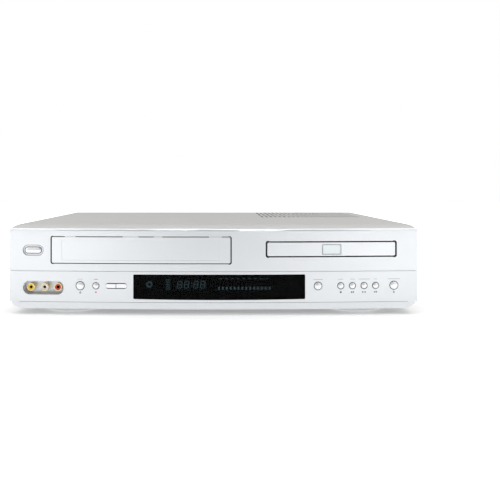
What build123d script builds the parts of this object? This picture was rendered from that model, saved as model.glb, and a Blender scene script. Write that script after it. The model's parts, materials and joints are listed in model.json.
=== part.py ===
from build123d import *

import os
from math import atan2, cos, hypot, pi, radians, sin, sqrt

os.makedirs("parts", exist_ok=True)

# Casing: +X is right seen from the front, -Y is the front, +Z is up.
WIDTH = 435.0
HEIGHT = 95.0
BODY_DEPTH = 335.0  # ends of the front panel to the rear panel's face
BOW = 10.0  # forward bulge of the front at mid width
REAR_REACH = 7.0  # rear sockets beyond the rear panel
FOOT_H = 6.5
SHEET = 1.0
PAN_SHEET = 1.2
CASE_GAP = 0.2

# Front panel
PANEL_WALL = 3.4
PANEL_END_DEPTH = 3.0
PANEL_TOP_DROP = 3.2
SKIRT_H = 7.6
SKIRT_INSET = 1.8
SKIRT_CORNER = 15.0
LOWER_INSET = 0.5
GROOVE_INSET = 1.5
GROOVE_H = 1.0
LOWER_ZONE_H = 32.7
PANEL_EDGE_R = 2.6
LIP_DEPTH = 8.0
LIP_SHEET = 2.0
LIP_FIT = 0.1
LIP_ROOT = 6.0  # upper lip's root into the panel
COVER_FALL = 21.6  # run over which the cover's front edge drops
COVER_SIDE_R = 5.0
COVER_TRIM = 1.0  # run past the joint that is cut off square
COVER_SIDE_LOW = 7.8  # bottom edge of the cover's sides above the panel's foot
PANEL_END_WALL = 8.0
LIP_SET = 8.0  # upper lip's ends inside the pan's sides
OVERLAP = 1.0  # run of a cut or a hidden root past a surface

# Vents in the cover
VENT_COLUMNS = 22
VENT_ROWS = 3
VENT_PITCH = 6.05
VENT_SLOT = 2.3
VENT_LENGTH = 46.0
VENT_BRIDGE = 6.0
VENT_FIRST_SIDE = 152.0  # first column from the right end
VENT_FIRST_BACK = 174.0  # behind the panel's ends

# Room left of, between and right of the door and the tray: the least, and how they share the rest
ROOM_LEAST = (32.0, 8.0, 4.0)
ROOM_SHARES = (13.1, 28.6, 19.0)
DOOR_RISE_SHARES = (7.6, 8.3)  # room under and over the door
TRAY_RISE_SHARES = (14.7, 13.3)  # room under and over the tray

# Cassette bay: a cassette is 188 x 104 x 25
DOOR_OPEN_W = 191.1
DOOR_OPEN_H = 29.1
DOOR_GAP = 0.9
DOOR_SHEET = 2.2
DOOR_RECESS = 0.6
DOOR_RECESS_W = 168.2
DOOR_RECESS_H = 21.5
DOOR_PIN_R = 0.6
DOOR_PIN_SET = 1.15
DOOR_PIN_DROP = 0.2
DOOR_PIN_REACH = 1.3
PIN_FIT = 0.06
DOOR_PIN_ROOT = 4.0
CORNER_R = 2.0
INNER_CORNER_R = 1.4

# Disc tray
TRAY_OPEN_W = 139.2
TRAY_OPEN_H = 17.0
TRAY_GAP = 1.4
TRAY_FRONT_T = 3.0
BADGE_W = 20.0
BADGE_H = 10.3
BADGE_DEPTH = 0.8
BADGE_FIT = 0.1
BADGE_SET = 0.1  # badge behind the tray front's face
BADGE_UNDER = 0.3  # badge under the middle of the tray's front

# Display window
WINDOW_LEFT_ROOM = 133.0
WINDOW_RIGHT_ROOM = 120.9
WINDOW_MARGIN = 3.5  # over the skirt and under the groove
WINDOW_CORNER = 1.0
WINDOW_SAG = 0.8
WINDOW_FIT = 0.15
WINDOW_T = 2.0

# Buttons: rooms are from the nearer end of the front, rises from the skirt
BUTTON_TRAVEL = 0.7
POWER_TRAVEL = 1.0
BUTTON_PROUD = 0.7
BUTTON_FIT = 0.2
BUTTON_FLANGE_T = 1.0
BUTTON_STEM_R = 1.5
BUTTON_GROWN = 0.6  # flange beyond the hole
BUTTON_EDGE_R = 0.35
LOWER_BUTTON_RISE = 17.1
ROUND_D = 6.1
EJECT_D = 8.2
COPY_D = 7.6
VCR_EJECT_ROOM = 76.4
RECORD_ROOM = 93.2
ROCKER_ROOM = 114.7
COPY_ROOM = 107.1
STOP_ROOM = 82.9
REWIND_ROOM = 70.4
PLAY_ROOM = 57.9
FORWARD_ROOM = 45.5
OPEN_ROOM = 25.7
POWER_ROOM = 6.74  # least room between the dish and the front's end
POWER_SHARE = 0.6  # of the spare room left of the door
POWER_UNDER = 0.45  # under the door's middle
POWER_W = 17.3
POWER_H = 6.2
POWER_DISH_W = 22.4
POWER_DISH_H = 10.9
POWER_DISH_DEPTH = 1.2
POWER_DISH_SLOPE = 20.0
ROCKER_W = 22.8
ROCKER_H = 4.4
ROCKER_SPLIT = 0.5

# Front sockets
AV_ROOM = 36.6
AV_RISE = 14.5
AV_RECESS_W = 44.1
AV_RECESS_H = 14.4
AV_RECESS_DEPTH = 14.0
AV_WALL = 1.6
AV_PITCH = 14.5
JACK_R = 4.15
JACK_NECK_R = 3.9
JACK_BORE_R = 3.2
JACK_REACH = 8.0
JACK_FLANGE_R = 5.6
JACK_HOLE_R = 1.65
JACK_FIT = 0.1
JACK_FLANGE_T = 1.5
JACK_FLOOR = 1.0  # insert's thickness behind the pin's hole
INSERT_SET = 0.6  # insert behind the shell's tip

# Boards and switches
BOARD_T = 1.6
FRONT_BOARD_BACK = 16.0  # behind the panel's ends
FRONT_BOARD_LEFT_ROOM = 67.5
FRONT_BOARD_RIGHT_ROOM = 12.5
FRONT_BOARD_DROP = 2.8  # under the groove
POWER_CARD_HALF = (14.0, 12.0)
POWER_POST_OFFSET = (10.0, 9.0)
TUBE_MARGIN = (24.5, 14.6)  # left and right inside the window
TUBE_RISE = (2.9, 2.8)  # bottom and top inside the window
TUBE_T = 7.0
TUBE_CORNER = 1.0
SWITCH_SIZE = 6.0
SWITCH_BODY = 3.5
SWITCH_PLUNGER_R = 1.7
SWITCH_PLUNGER = 0.8
POST_R = 2.5
STAND_H = 4.3
STAND_R = 3.0
STAND_MARGIN = 6.0
POST_LEFT_ROOM = 84.5
POST_RIGHT_ROOMS = (114.5, 35.5)
POST_RISE = 2.9
POST_DROP = 6.8
BOARD_REAR_ROOM = 9.0
MAIN_BOARD_ROOMS = (182.5, 19.5)  # its two ends from the right end of the case
MAIN_BOARD_GAP = 12.0  # behind the disc loader
CHIP_T = 3.0
CHIPS = ((55.0, 65.0, 28.0), (105.0, 50.0, 20.0), (130.0, 90.0, 14.0))  # place on the main board, side
POWER_BOARD_ROOM = 17.5
POWER_BOARD_W = 98.0
POWER_BOARD_D = 68.0
SINK_X = 5.0
SINK_T = 3.0
SINK_Y = (8.0, 58.0)
SINK_H = 32.0
FIN_COUNT = 6
FIN_PITCH = 9.0
FIN_FIRST = 10.0
FIN_REACH = 12.0
FIN_T = 1.5
FIN_LOW = 4.0
CANS = ((24.0, 16.0, 8.0, 28.0), (84.0, 12.0, 5.0, 18.0), (84.0, 26.0, 5.0, 18.0))  # place, radius, height
SMALL_CANS = ((50.0, 54.0, 4.5, 20.0), (62.0, 54.0, 4.5, 20.0), (74.0, 54.0, 4.5, 20.0))
CORE_PLACE = (40.0, 6.0)
CORE_SIZE = (32.0, 28.0, 30.0)
CORE_CORNER = 2.0
WINDING_SET = (7.0, 4.0, 4.0)  # in from the core's ends, out of its sides, in from its top and bottom
PAN_VENT_BACK = 55.0  # behind the main board's front edge
PAN_VENT_PITCH = (9.0, 30.0)
PAN_VENT_COLUMNS = 9
PAN_VENT_ROWS = 2
PAN_VENT_SLOT = (22.0, 3.0)
PAN_FLANGE_RISE = 9.9

# Feet
FOOT_ROOM = 60.5
FRONT_FOOT_R = 32.0
FRONT_FOOT_BACK = 12.7
REAR_FOOT_R = 16.0
REAR_FOOT_ROOM = 39.0
FOOT_WALL = 0.62  # share of a foot's height where its round edge starts
FOOT_TURN = (0.5, 0.6)  # run and radius of the round edge, as shares of the foot's height
PAD_R = 11.0
PAD_T = 2.0
PAD_PROUD = 0.6
PAD_EDGE_R = 0.4

# Tape deck
DECK_W = 200.4
DECK_FRONT_BACK = 23.0  # each "back" is behind the panel's ends
DECK_GAP = 12.0  # in front of the power board
DECK_LEG_H = 16.8
DECK_LEG_MARGIN = 14.0
DECK_SHEET = 1.5
DECK_WALL_RISE = 32.8  # rises from the holder's floor
DECK_WALL_BACK = 174.0
DECK_LEG_R = 4.0
CARRIER_TRAVEL = 50.0
CARRIER_GAP = 0.8
CARRIER_SHEET = 1.0
CARRIER_SPAN = (34.0, 104.0)
CARRIER_DROP = 8.2  # under the holder's floor
CARRIER_PIN_RISE = 26.8
CARRIER_PIN_R = 2.0
CARRIER_PIN_SET = 12.0
CARRIER_PIN_REACH = 0.8
CARRIER_BAR_D = 14.0
CASSETTE_REST_RISE = 8.2  # lowered holder's floor over the deck
HOLDER_UNDER = 0.2  # holder's floor under the door's opening
HOLDER_INNER_W = 191.2
HOLDER_SHEET = 0.8
HOLDER_INNER_H = 26.2
HOLDER_SPAN = (26.0, 114.0)
HOLDER_LEDGE = 18.0
HOLDER_PIN_RISE = 19.8
HOLDER_PIN_R = 1.5
HOLDER_PIN_SET = 24.0
HOLDER_HOLE = (40.0, 50.0, 5.0)  # width, depth and corner of a hole in its roof
HOLDER_HOLE_PITCH = 56.0
HOLDER_STOP = 12.0
SLOT_FIT = 0.15
DRUM_R = 31.0
DRUM_BACK = 202.0
DRUM_TILT = 6.0
DRUM_LOW_H = 13.0
DRUM_UP_H = 16.0
DRUM_BASE_H = 6.0
DRUM_GAP = 0.3
DRUM_SHAFT_R = 4.0
DRUM_BASE_SET = 9.0
DRUM_NECK_SET = 5.0
DRUM_NECK_H = 3.5
DRUM_RIM = 2.0
DRUM_CHAMFER = 1.0
DRUM_HOLES = 6
DRUM_HOLE_R = 3.0
DRUM_HOLE_DEPTH = 3.0
DRUM_HOLE_RING = 18.0
REEL_SPACING = 92.0
REEL_BACK = 118.0
REEL_SPLINES = 6
REEL_SPLINE_R = 1.2
REEL_SPLINE_DROP = 2.0
REEL_R = 22.0
REEL_HUB_R = 10.5
REEL_HUB_H = 13.0
REEL_DISC_T = 3.0
REEL_SHAFT_R = 2.5
SHAFT_FIT = 0.06
RUN_GAP = 0.3
CAPSTAN_OFFSET = 52.85  # right of the deck's middle
CAPSTAN_BACK = 180.0
CAPSTAN_R = 2.0
CAPSTAN_RISE = 34.0
BEARING_WALL = 3.0
BEARING_H = (2.0, 6.0)  # under and over the deck
FLYWHEEL_R = 20.0
FLYWHEEL_T = 5.0
FLYWHEEL_HOLES = 5
FLYWHEEL_HOLE_R = 3.5
FLYWHEEL_HOLE_RING = 12.0
PIVOT_OFFSET = 72.85
PIVOT_BACK = 196.0
PIVOT_R = 2.0
PIVOT_H = 14.0
PIVOT_BOSS_R = 4.0
PIVOT_BOSS_H = 8.0
PINCH_ARM_L = 19.8
PINCH_REST_DEG = 258.8
PINCH_ROLLER_R = 6.0
PINCH_ROLLER_H = 17.0
PINCH_PIN_R = 1.5
PINCH_ARM_T = 2.0
PINCH_ARM_W = 8.0
PINCH_HUB_H = 11.0
PINCH_PIN_PROUD = 1.5
GUIDE_OFFSET = 40.0
GUIDE_BACK = 171.0
GUIDE_SLOT_W = 4.4
GUIDE_TENON_R = 2.0
GUIDE_POST_R = 1.6
GUIDE_ROLLER_SET = (4.0, 2.0)  # under and over the roller
GUIDE_TRAVEL = 36.0
GUIDE_ROLLER_R = 3.0
GUIDE_ROLLER_H = 27.0
GUIDE_BASE_W = 10.0
GUIDE_BASE_D = 14.0
GUIDE_BASE_T = 3.0
HEAD_BLOCK = 8.0
HEAD_BLOCK_H = 8.0
HEAD_H = 30.0
HEAD_STEP = 1.0
ERASE_HEAD = (16.0, 19.0)  # left of and behind the left guide
AUDIO_HEAD_BACK = 18.0  # behind the capstan

# Disc loader
SPINDLE_BACK = 74.0
LOADER_HALF = 69.5
LOADER_WALL = 2.5
LOADER_SPAN = (20.0, 184.0)
LOADER_FLOOR_DROP = 14.5  # under the tray
LOADER_FLOOR_T = 2.0
LOADER_TOP_RISE = 16.0  # over the tray's underside
LOADER_LEG_R = 5.0
LOADER_LEG_MARGIN = 8.0
LOADER_WELL_GAP = 4.0
RAIL_UNDER = 3.0  # reach under the tray, and the rail's thickness
TRAY_HALF = 64.0
TRAY_RISE = 2.0  # tray's underside over the opening's sill
TRAY_T = 5.5
TRAY_BACK = 178.0
TRAY_TRAVEL = 135.0
TRAY_RUN = 0.2
DISC_R = 60.0
DISC_FIT = 0.6
DISC_WELL = 3.1
SMALL_DISC_R = 40.0
SMALL_WELL = 0.6
TRAY_SLOT_HALF = 20.0
TRAY_SLOT_FRONT = 20.0
TRAY_SLOT_BACK = 64.0
BRIDGE_D = 26.0
BRIDGE_T = 2.0
CLAMP_R = 14.0
CLAMP_RISE = 7.1  # over the tray's underside
CLAMP_NECK_R = 9.0
CLAMP_LID = (11.0, 1.5)  # radius, and top over the bridge
DISC_T = 1.2
DISC_SLACK = 0.4  # between a lifted disc and the clamp
TRAVERSE_LIFT = 7.0
TRAVERSE_REST = 0.3  # over the loader's floor
TRAVERSE_T = 2.0
TRAVERSE_HALF = 32.0
TRAVERSE_WINDOW = 25.0
TRAVERSE_FRONT = 20.0
TRAVERSE_BACK = 76.0
EAR_SHARE = 0.8  # of the traverse's half width
EAR_R = 5.0
EAR_POST_R = 1.6
EAR_BACK = 2.0
ROD_WINDOW = (12.0, 14.0)  # window before and behind the sled's run
ROD_BLOCK = 3.0
ROD_CAP = 1.0
TURNTABLE_R = 14.0
TURNTABLE_HUB_R = 7.2
TURNTABLE_HUB_H = 1.2
SPINDLE_R = 1.0
SPINDLE_SET = 1.0  # spindle's tip under the turntable's face
MOTOR_R = 13.0
MOTOR_H = 4.0
SLED_START = 24.0
SLED_TRAVEL = 33.0
SLED_SPAN = (8.0, 10.0)  # in front of and behind its middle
SLED_H = 5.0
SLED_UNDER = 2.2  # under its rods' middle
SLED_SIDE = 4.0  # beyond its rods
LENS_RING = (6.0, 1.0)
LENS = (2.6, 0.8)
ROD_R = 1.5
ROD_OFFSET = 20.0
PINION_TEETH = 16
TOOTH_MODULE = 1.0
TOOTH_SLOPE = 0.36
TOOTH_HEIGHT = 0.8  # of the module
PINION_X = 43.0  # left of the disc's centre
PINION_BACK = 28.0
PINION_T = 1.4
PINION_SHAFT_R = 1.5
PINION_BOSS_R = 4.0
PINION_FIT = 0.1
RACK_W = 4.0
RACK_FRONT = 3.0
RACK_SPARE = 30.0
TOOTH_BACKLASH = 0.35

# Rear sockets
REAR_JACK_COLUMNS = 5
REAR_JACK_PITCH = 15.0
REAR_JACK_ROWS = 2
REAR_JACK_INSET = 25.0  # first column inside the main board's edge
REAR_JACK_RISE = 26.3
JACK_PLATE_MARGIN = 2.0
JACK_BLOCK_D = 12.0
JACK_BLOCK_WALL = 4.0
JACK_BLOCK_CORNER = 1.8
JACK_BLOCK_PROUD = 1.0
REAR_FIT = 0.2
TUNER_X = -30.0
TUNER_PITCH = 22.0
TUNER_SOCKET_R = 4.75
TUNER_BORE_R = 3.4
TUNER_PIN_R = 0.9
TUNER_BORE_D = 2.0  # bore's floor inside the rear panel's face
TUNER_RISE = 36.3
TUNER_HALF = 26.0
TUNER_DEPTH = 62.0
TUNER_OVER = 10.0  # can's top over its sockets
TUNER_MARGIN = 0.9
INLET_ROOM = 47.5
INLET_RISE = 16.4
INLET_W = 19.0
INLET_H = 11.0
INLET_CORNER = 3.8
INLET_D = 20.0
INLET_BORE = (14.6, 7.0, 14.0)  # width, height and depth
INLET_PIN_R = 1.2
INLET_PIN_OFFSET = 4.2
INLET_PIN_SET = 2.0
INLET_FOOT_HALF = 8.0
INLET_FOOT_D = 17.0
REAR_VENT_ROOM = 52.5
REAR_VENT_DROP = 35.0
REAR_VENT_PITCH = (6.0, 26.0)
REAR_VENT_COLUMNS = 8
REAR_VENT_ROWS = 2
REAR_VENT_SLOT = (22.0, 2.6)
SCREW_R = 1.5
SCREW_FIT = 0.15
SCREW_HEAD_R = 3.4
SCREW_HEAD_T = 1.0
SCREW_LENGTH = 7.0
REAR_SCREW_ROOM = 27.5
REAR_SCREW_DROP = 10.0
REAR_HEAD_T = 2.0
REAR_SCREW_LENGTH = 4.0
CROSS_ARM = 2.4
CROSS_HALF = 0.4
CROSS_DEPTH = 0.8
SIDE_SCREW_BACK = 71.0
SIDE_SCREW_REAR = 44.0

# Positions worked out from the sizes above
Y_FRONT = -(BOW + BODY_DEPTH + REAR_REACH) / 2
Y_END = Y_FRONT + BOW
Y_REAR = Y_END + BODY_DEPTH
Y_JOINT = Y_END + PANEL_END_DEPTH
BOW_R = ((WIDTH / 2) ** 2 + BOW**2) / (2 * BOW)
Y_BOW_CENTRE = Y_FRONT + BOW_R
Z_SKIRT = FOOT_H + SKIRT_H
Z_GROOVE = Z_SKIRT + LOWER_ZONE_H
Z_JOINT = HEIGHT - PANEL_TOP_DROP
PAN_TOP = FOOT_H + PAN_SHEET
CASE_HALF = WIDTH / 2 - SHEET  # outside of the cover's sides
PAN_HALF = CASE_HALF - SHEET - CASE_GAP
LEFT = -WIDTH / 2
RIGHT = WIDTH / 2
room_unit = (WIDTH - DOOR_OPEN_W - TRAY_OPEN_W - sum(ROOM_LEAST)) / sum(ROOM_SHARES)
left_room = ROOM_LEAST[0] + ROOM_SHARES[0] * room_unit
right_room = ROOM_LEAST[2] + ROOM_SHARES[2] * room_unit
DECK_X = LEFT + left_room + DOOR_OPEN_W / 2
DISC_X = RIGHT - right_room - TRAY_OPEN_W / 2
door_rise = (Z_JOINT - Z_GROOVE - DOOR_OPEN_H) / sum(DOOR_RISE_SHARES)
tray_rise = (Z_JOINT - Z_GROOVE - TRAY_OPEN_H) / sum(TRAY_RISE_SHARES)
DOOR_OPEN_LOW = Z_GROOVE + DOOR_RISE_SHARES[0] * door_rise
TRAY_OPEN_LOW = Z_GROOVE + TRAY_RISE_SHARES[0] * tray_rise
door_z = DOOR_OPEN_LOW + DOOR_OPEN_H / 2
tray_z = TRAY_OPEN_LOW + TRAY_OPEN_H / 2
WINDOW_LEFT = LEFT + WINDOW_LEFT_ROOM
WINDOW_RIGHT = RIGHT - WINDOW_RIGHT_ROOM
WINDOW_LOW = Z_SKIRT + WINDOW_MARGIN
WINDOW_TOP = Z_GROOVE - WINDOW_MARGIN
LOWER_BUTTON_Z = Z_SKIRT + LOWER_BUTTON_RISE
ROCKER_X = LEFT + ROCKER_ROOM
POWER_X = LEFT + POWER_ROOM + POWER_DISH_W / 2 + POWER_SHARE * (left_room - ROOM_LEAST[0])
POWER_Z = door_z - POWER_UNDER
AV_X = LEFT + AV_ROOM
AV_Z = Z_SKIRT + AV_RISE
BOARD_LOW = PAN_TOP + STAND_H
BOARD_TOP = BOARD_LOW + BOARD_T
FRONT_BOARD_Y = Y_END + FRONT_BOARD_BACK
DECK_Z = PAN_TOP + DECK_LEG_H
DECK_TOP = DECK_Z + DECK_SHEET
HOLDER_FLOOR_Z = DOOR_OPEN_LOW - HOLDER_UNDER
HOLDER_PIN_Z = HOLDER_FLOOR_Z + HOLDER_PIN_RISE
HOLDER_DROP = HOLDER_FLOOR_Z - DECK_TOP - CASSETTE_REST_RISE
HOLDER_FRONT, HOLDER_BACK = (Y_END + back for back in HOLDER_SPAN)
CARRIER_FRONT, CARRIER_BACK = (Y_END + back for back in CARRIER_SPAN)
CARRIER_LOW = HOLDER_FLOOR_Z - CARRIER_DROP
CARRIER_PIN_Z = HOLDER_FLOOR_Z + CARRIER_PIN_RISE
DECK_WALL_TOP = HOLDER_FLOOR_Z + DECK_WALL_RISE
DECK_FRONT = Y_END + DECK_FRONT_BACK
DRUM_Y = Y_END + DRUM_BACK
REEL_Y = Y_END + REEL_BACK
CAPSTAN_X = DECK_X + CAPSTAN_OFFSET
CAPSTAN_Y = Y_END + CAPSTAN_BACK
PINCH_PIVOT_X = DECK_X + PIVOT_OFFSET
PINCH_PIVOT_Y = Y_END + PIVOT_BACK
GUIDE_Y = Y_END + GUIDE_BACK
SPINDLE_Y = Y_END + SPINDLE_BACK
LOADER_FRONT, LOADER_BACK = (Y_END + back for back in LOADER_SPAN)
TRAY_Z = TRAY_OPEN_LOW + TRAY_RISE
LOADER_FLOOR_Z = TRAY_Z - LOADER_FLOOR_DROP
LOADER_TOP_Z = TRAY_Z + LOADER_TOP_RISE
CLAMP_LOW_Z = TRAY_Z + CLAMP_RISE
TRAVERSE_Z = LOADER_FLOOR_Z + LOADER_FLOOR_T + TRAVERSE_REST
TURNTABLE_TOP_Z = CLAMP_LOW_Z - DISC_T - DISC_SLACK - TRAVERSE_LIFT
PINION_Y = Y_END + PINION_BACK
MAIN_BOARD_X = tuple(RIGHT - room for room in MAIN_BOARD_ROOMS)
MAIN_BOARD_Y = (LOADER_BACK + MAIN_BOARD_GAP, Y_REAR - BOARD_REAR_ROOM)
POWER_BOARD_X = (LEFT + POWER_BOARD_ROOM, LEFT + POWER_BOARD_ROOM + POWER_BOARD_W)
POWER_BOARD_Y = (MAIN_BOARD_Y[1] - POWER_BOARD_D, MAIN_BOARD_Y[1])
DECK_BACK = POWER_BOARD_Y[0] - DECK_GAP
REAR_JACK_X = MAIN_BOARD_X[0] + REAR_JACK_INSET
REAR_JACK_LOW_Z = PAN_TOP + REAR_JACK_RISE
TUNER_SOCKET_Z = PAN_TOP + TUNER_RISE
INLET_X = LEFT + INLET_ROOM
INLET_Z = BOARD_TOP + INLET_RISE


def bow_y(x, inset=0.0):
    """Depth of the bowed front at x, set back by inset."""
    return Y_BOW_CENTRE - sqrt((BOW_R - inset) ** 2 - x**2)


def bow_block(x0, x1, front, back, z0, z1):
    """Block between two offsets of the bowed front."""
    mid = (x0 + x1) / 2
    with BuildPart() as block:
        with BuildSketch(Plane.XY.offset(z0)):
            with BuildLine():
                near = ThreePointArc(*[(x, bow_y(x, front)) for x in (x0, mid, x1)])
                far = ThreePointArc(*[(x, bow_y(x, back)) for x in (x1, mid, x0)])
                Line(near @ 1, far @ 0)
                Line(far @ 1, near @ 0)
            make_face()
        extrude(amount=z1 - z0)
    return block.part


def bow_slab(half, inset, back, z0, z1):
    """Block from an offset of the bowed front to a flat back at the given depth."""
    with BuildPart() as block:
        with BuildSketch(Plane.XY.offset(z0)):
            with BuildLine():
                near = ThreePointArc(*[(x, bow_y(x, inset)) for x in (-half, 0, half)])
                Polyline(near @ 1, (half, back), (-half, back), near @ 0)
            make_face()
        extrude(amount=z1 - z0)
    return block.part


def facing(y, x=0.0, z=0.0):
    """Plane that faces the front at depth y: sketch x is +X and sketch y is +Z."""
    return Plane((x, y, z), x_dir=(1, 0, 0), z_dir=(0, -1, 0))


def box_between(x, y, z):
    """Box given by its limits along each axis, kept outside any open block."""
    size = (x[1] - x[0], y[1] - y[0], z[1] - z[0])
    middle = ((x[0] + x[1]) / 2, (y[0] + y[1]) / 2, (z[0] + z[1]) / 2)
    return Pos(*middle) * Box(*size, mode=Mode.PRIVATE)


def rod_z(x, y, z0, z1, radius):
    """Upright round rod."""
    return Pos(x, y, (z0 + z1) / 2) * Cylinder(radius, z1 - z0, mode=Mode.PRIVATE)


def rod_y(x, z, y0, y1, radius):
    """Round rod that runs front to back."""
    turned = Rot(90, 0, 0) * Cylinder(radius, y1 - y0, mode=Mode.PRIVATE)
    return Pos(x, (y0 + y1) / 2, z) * turned


def rod_x(y, z, x0, x1, radius):
    """Round rod that runs left to right."""
    turned = Rot(0, 90, 0) * Cylinder(radius, x1 - x0, mode=Mode.PRIVATE)
    return Pos((x0 + x1) / 2, y, z) * turned


def save(builder, name):
    """Label a finished piece and write it."""
    builder.part.label = name
    export_step(builder.part, f"parts/{name}.step")


# ---- Buttons: place, head size and the plane of the front round them ----
ROCKER_HALF = (ROCKER_W - ROCKER_SPLIT) / 2
BUTTONS = {
    "power_button": (POWER_X, POWER_Z, POWER_W, POWER_H, POWER_DISH_DEPTH - BUTTON_PROUD),
}
LOWER_ROW = {
    "vcr_eject_button": (LEFT + VCR_EJECT_ROOM, EJECT_D),
    "record_button": (LEFT + RECORD_ROOM, ROUND_D),
    "copy_button": (RIGHT - COPY_ROOM, COPY_D),
    "stop_button": (RIGHT - STOP_ROOM, ROUND_D),
    "rewind_button": (RIGHT - REWIND_ROOM, ROUND_D),
    "play_button": (RIGHT - PLAY_ROOM, ROUND_D),
    "forward_button": (RIGHT - FORWARD_ROOM, ROUND_D),
    "open_button": (RIGHT - OPEN_ROOM, EJECT_D),
}
for name, (x, size) in LOWER_ROW.items():
    BUTTONS[name] = (x, LOWER_BUTTON_Z, size, size, LOWER_INSET - BUTTON_PROUD)
ROCKERS = {"channel_down_button": -1, "channel_up_button": 1}
STEM_END = FRONT_BOARD_Y - SWITCH_BODY - SWITCH_PLUNGER - CASE_GAP
SWITCH_SPOTS = [(x, z) for x, z, *_ in BUTTONS.values()]
SWITCH_SPOTS += [(ROCKER_X + side * ROCKER_HALF / 2, LOWER_BUTTON_Z) for side in ROCKERS.values()]
POST_COLUMNS = (LEFT + POST_LEFT_ROOM, *(RIGHT - room for room in POST_RIGHT_ROOMS))
POSTS = [(x, z) for x in POST_COLUMNS for z in (Z_SKIRT + POST_RISE, Z_GROOVE - POST_DROP)]
post_x, post_z = POWER_POST_OFFSET
POWER_POSTS = [(POWER_X - side * post_x, POWER_Z + side * post_z) for side in (1, -1)]
AV_SPOTS = [AV_X + step * AV_PITCH for step in (-1, 0, 1)]
AV_BACK = bow_y(AV_X) + AV_RECESS_DEPTH


def button_hole(x, z, width, height):
    """Round-ended hole through the front wall with the running margin round the head."""
    with BuildPart() as hole:
        with BuildSketch(facing(Y_JOINT, x, z)):
            if width > height:
                SlotOverall(width + 2 * BUTTON_FIT, height + 2 * BUTTON_FIT)
            else:
                Circle(width / 2 + BUTTON_FIT)
        extrude(amount=Y_JOINT - Y_FRONT + BUTTON_PROUD)
    return hole.part


# ---- Front panel ----
z_window_mid = WINDOW_LOW - WINDOW_SAG
window_mid_x = (WINDOW_LEFT + WINDOW_RIGHT) / 2


def window_shape(margin, y0, y1):
    """Window's outline, grown by margin, as a block from y0 back to y1."""
    left = WINDOW_LEFT - margin
    right = WINDOW_RIGHT + margin
    low = WINDOW_LOW - margin
    with BuildPart() as block:
        with BuildSketch(facing(y1)) as outline:
            with BuildLine():
                sag = ThreePointArc((left, low), (window_mid_x, z_window_mid - margin), (right, low))
                Polyline(sag @ 1, (right, WINDOW_TOP + margin), (left, WINDOW_TOP + margin), sag @ 0)
            make_face()
            fillet(outline.vertices(), WINDOW_CORNER + margin)
        extrude(amount=y1 - y0)
    return block.part


door_left = DECK_X - DOOR_OPEN_W / 2
door_right = DECK_X + DOOR_OPEN_W / 2
hinge_z = DOOR_OPEN_LOW + DOOR_OPEN_H - DOOR_GAP - DOOR_PIN_DROP
hinge_left = Vector(door_left, bow_y(door_left) + DOOR_PIN_SET, hinge_z)
hinge_right = Vector(door_right, bow_y(door_right) + DOOR_PIN_SET, hinge_z)
hinge_axis = (hinge_right - hinge_left).normalized()


def hinge_rod(margin_r, inward, outward):
    """Rods on the door's hinge line at both ends of the opening."""
    with BuildPart() as rods:
        for end, side in ((hinge_left, -1), (hinge_right, 1)):
            start = end - hinge_axis * (side * inward)
            with BuildSketch(Plane(start, z_dir=hinge_axis * side)):
                Circle(DOOR_PIN_R + margin_r)
            extrude(amount=inward + outward)
    return rods.part


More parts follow.
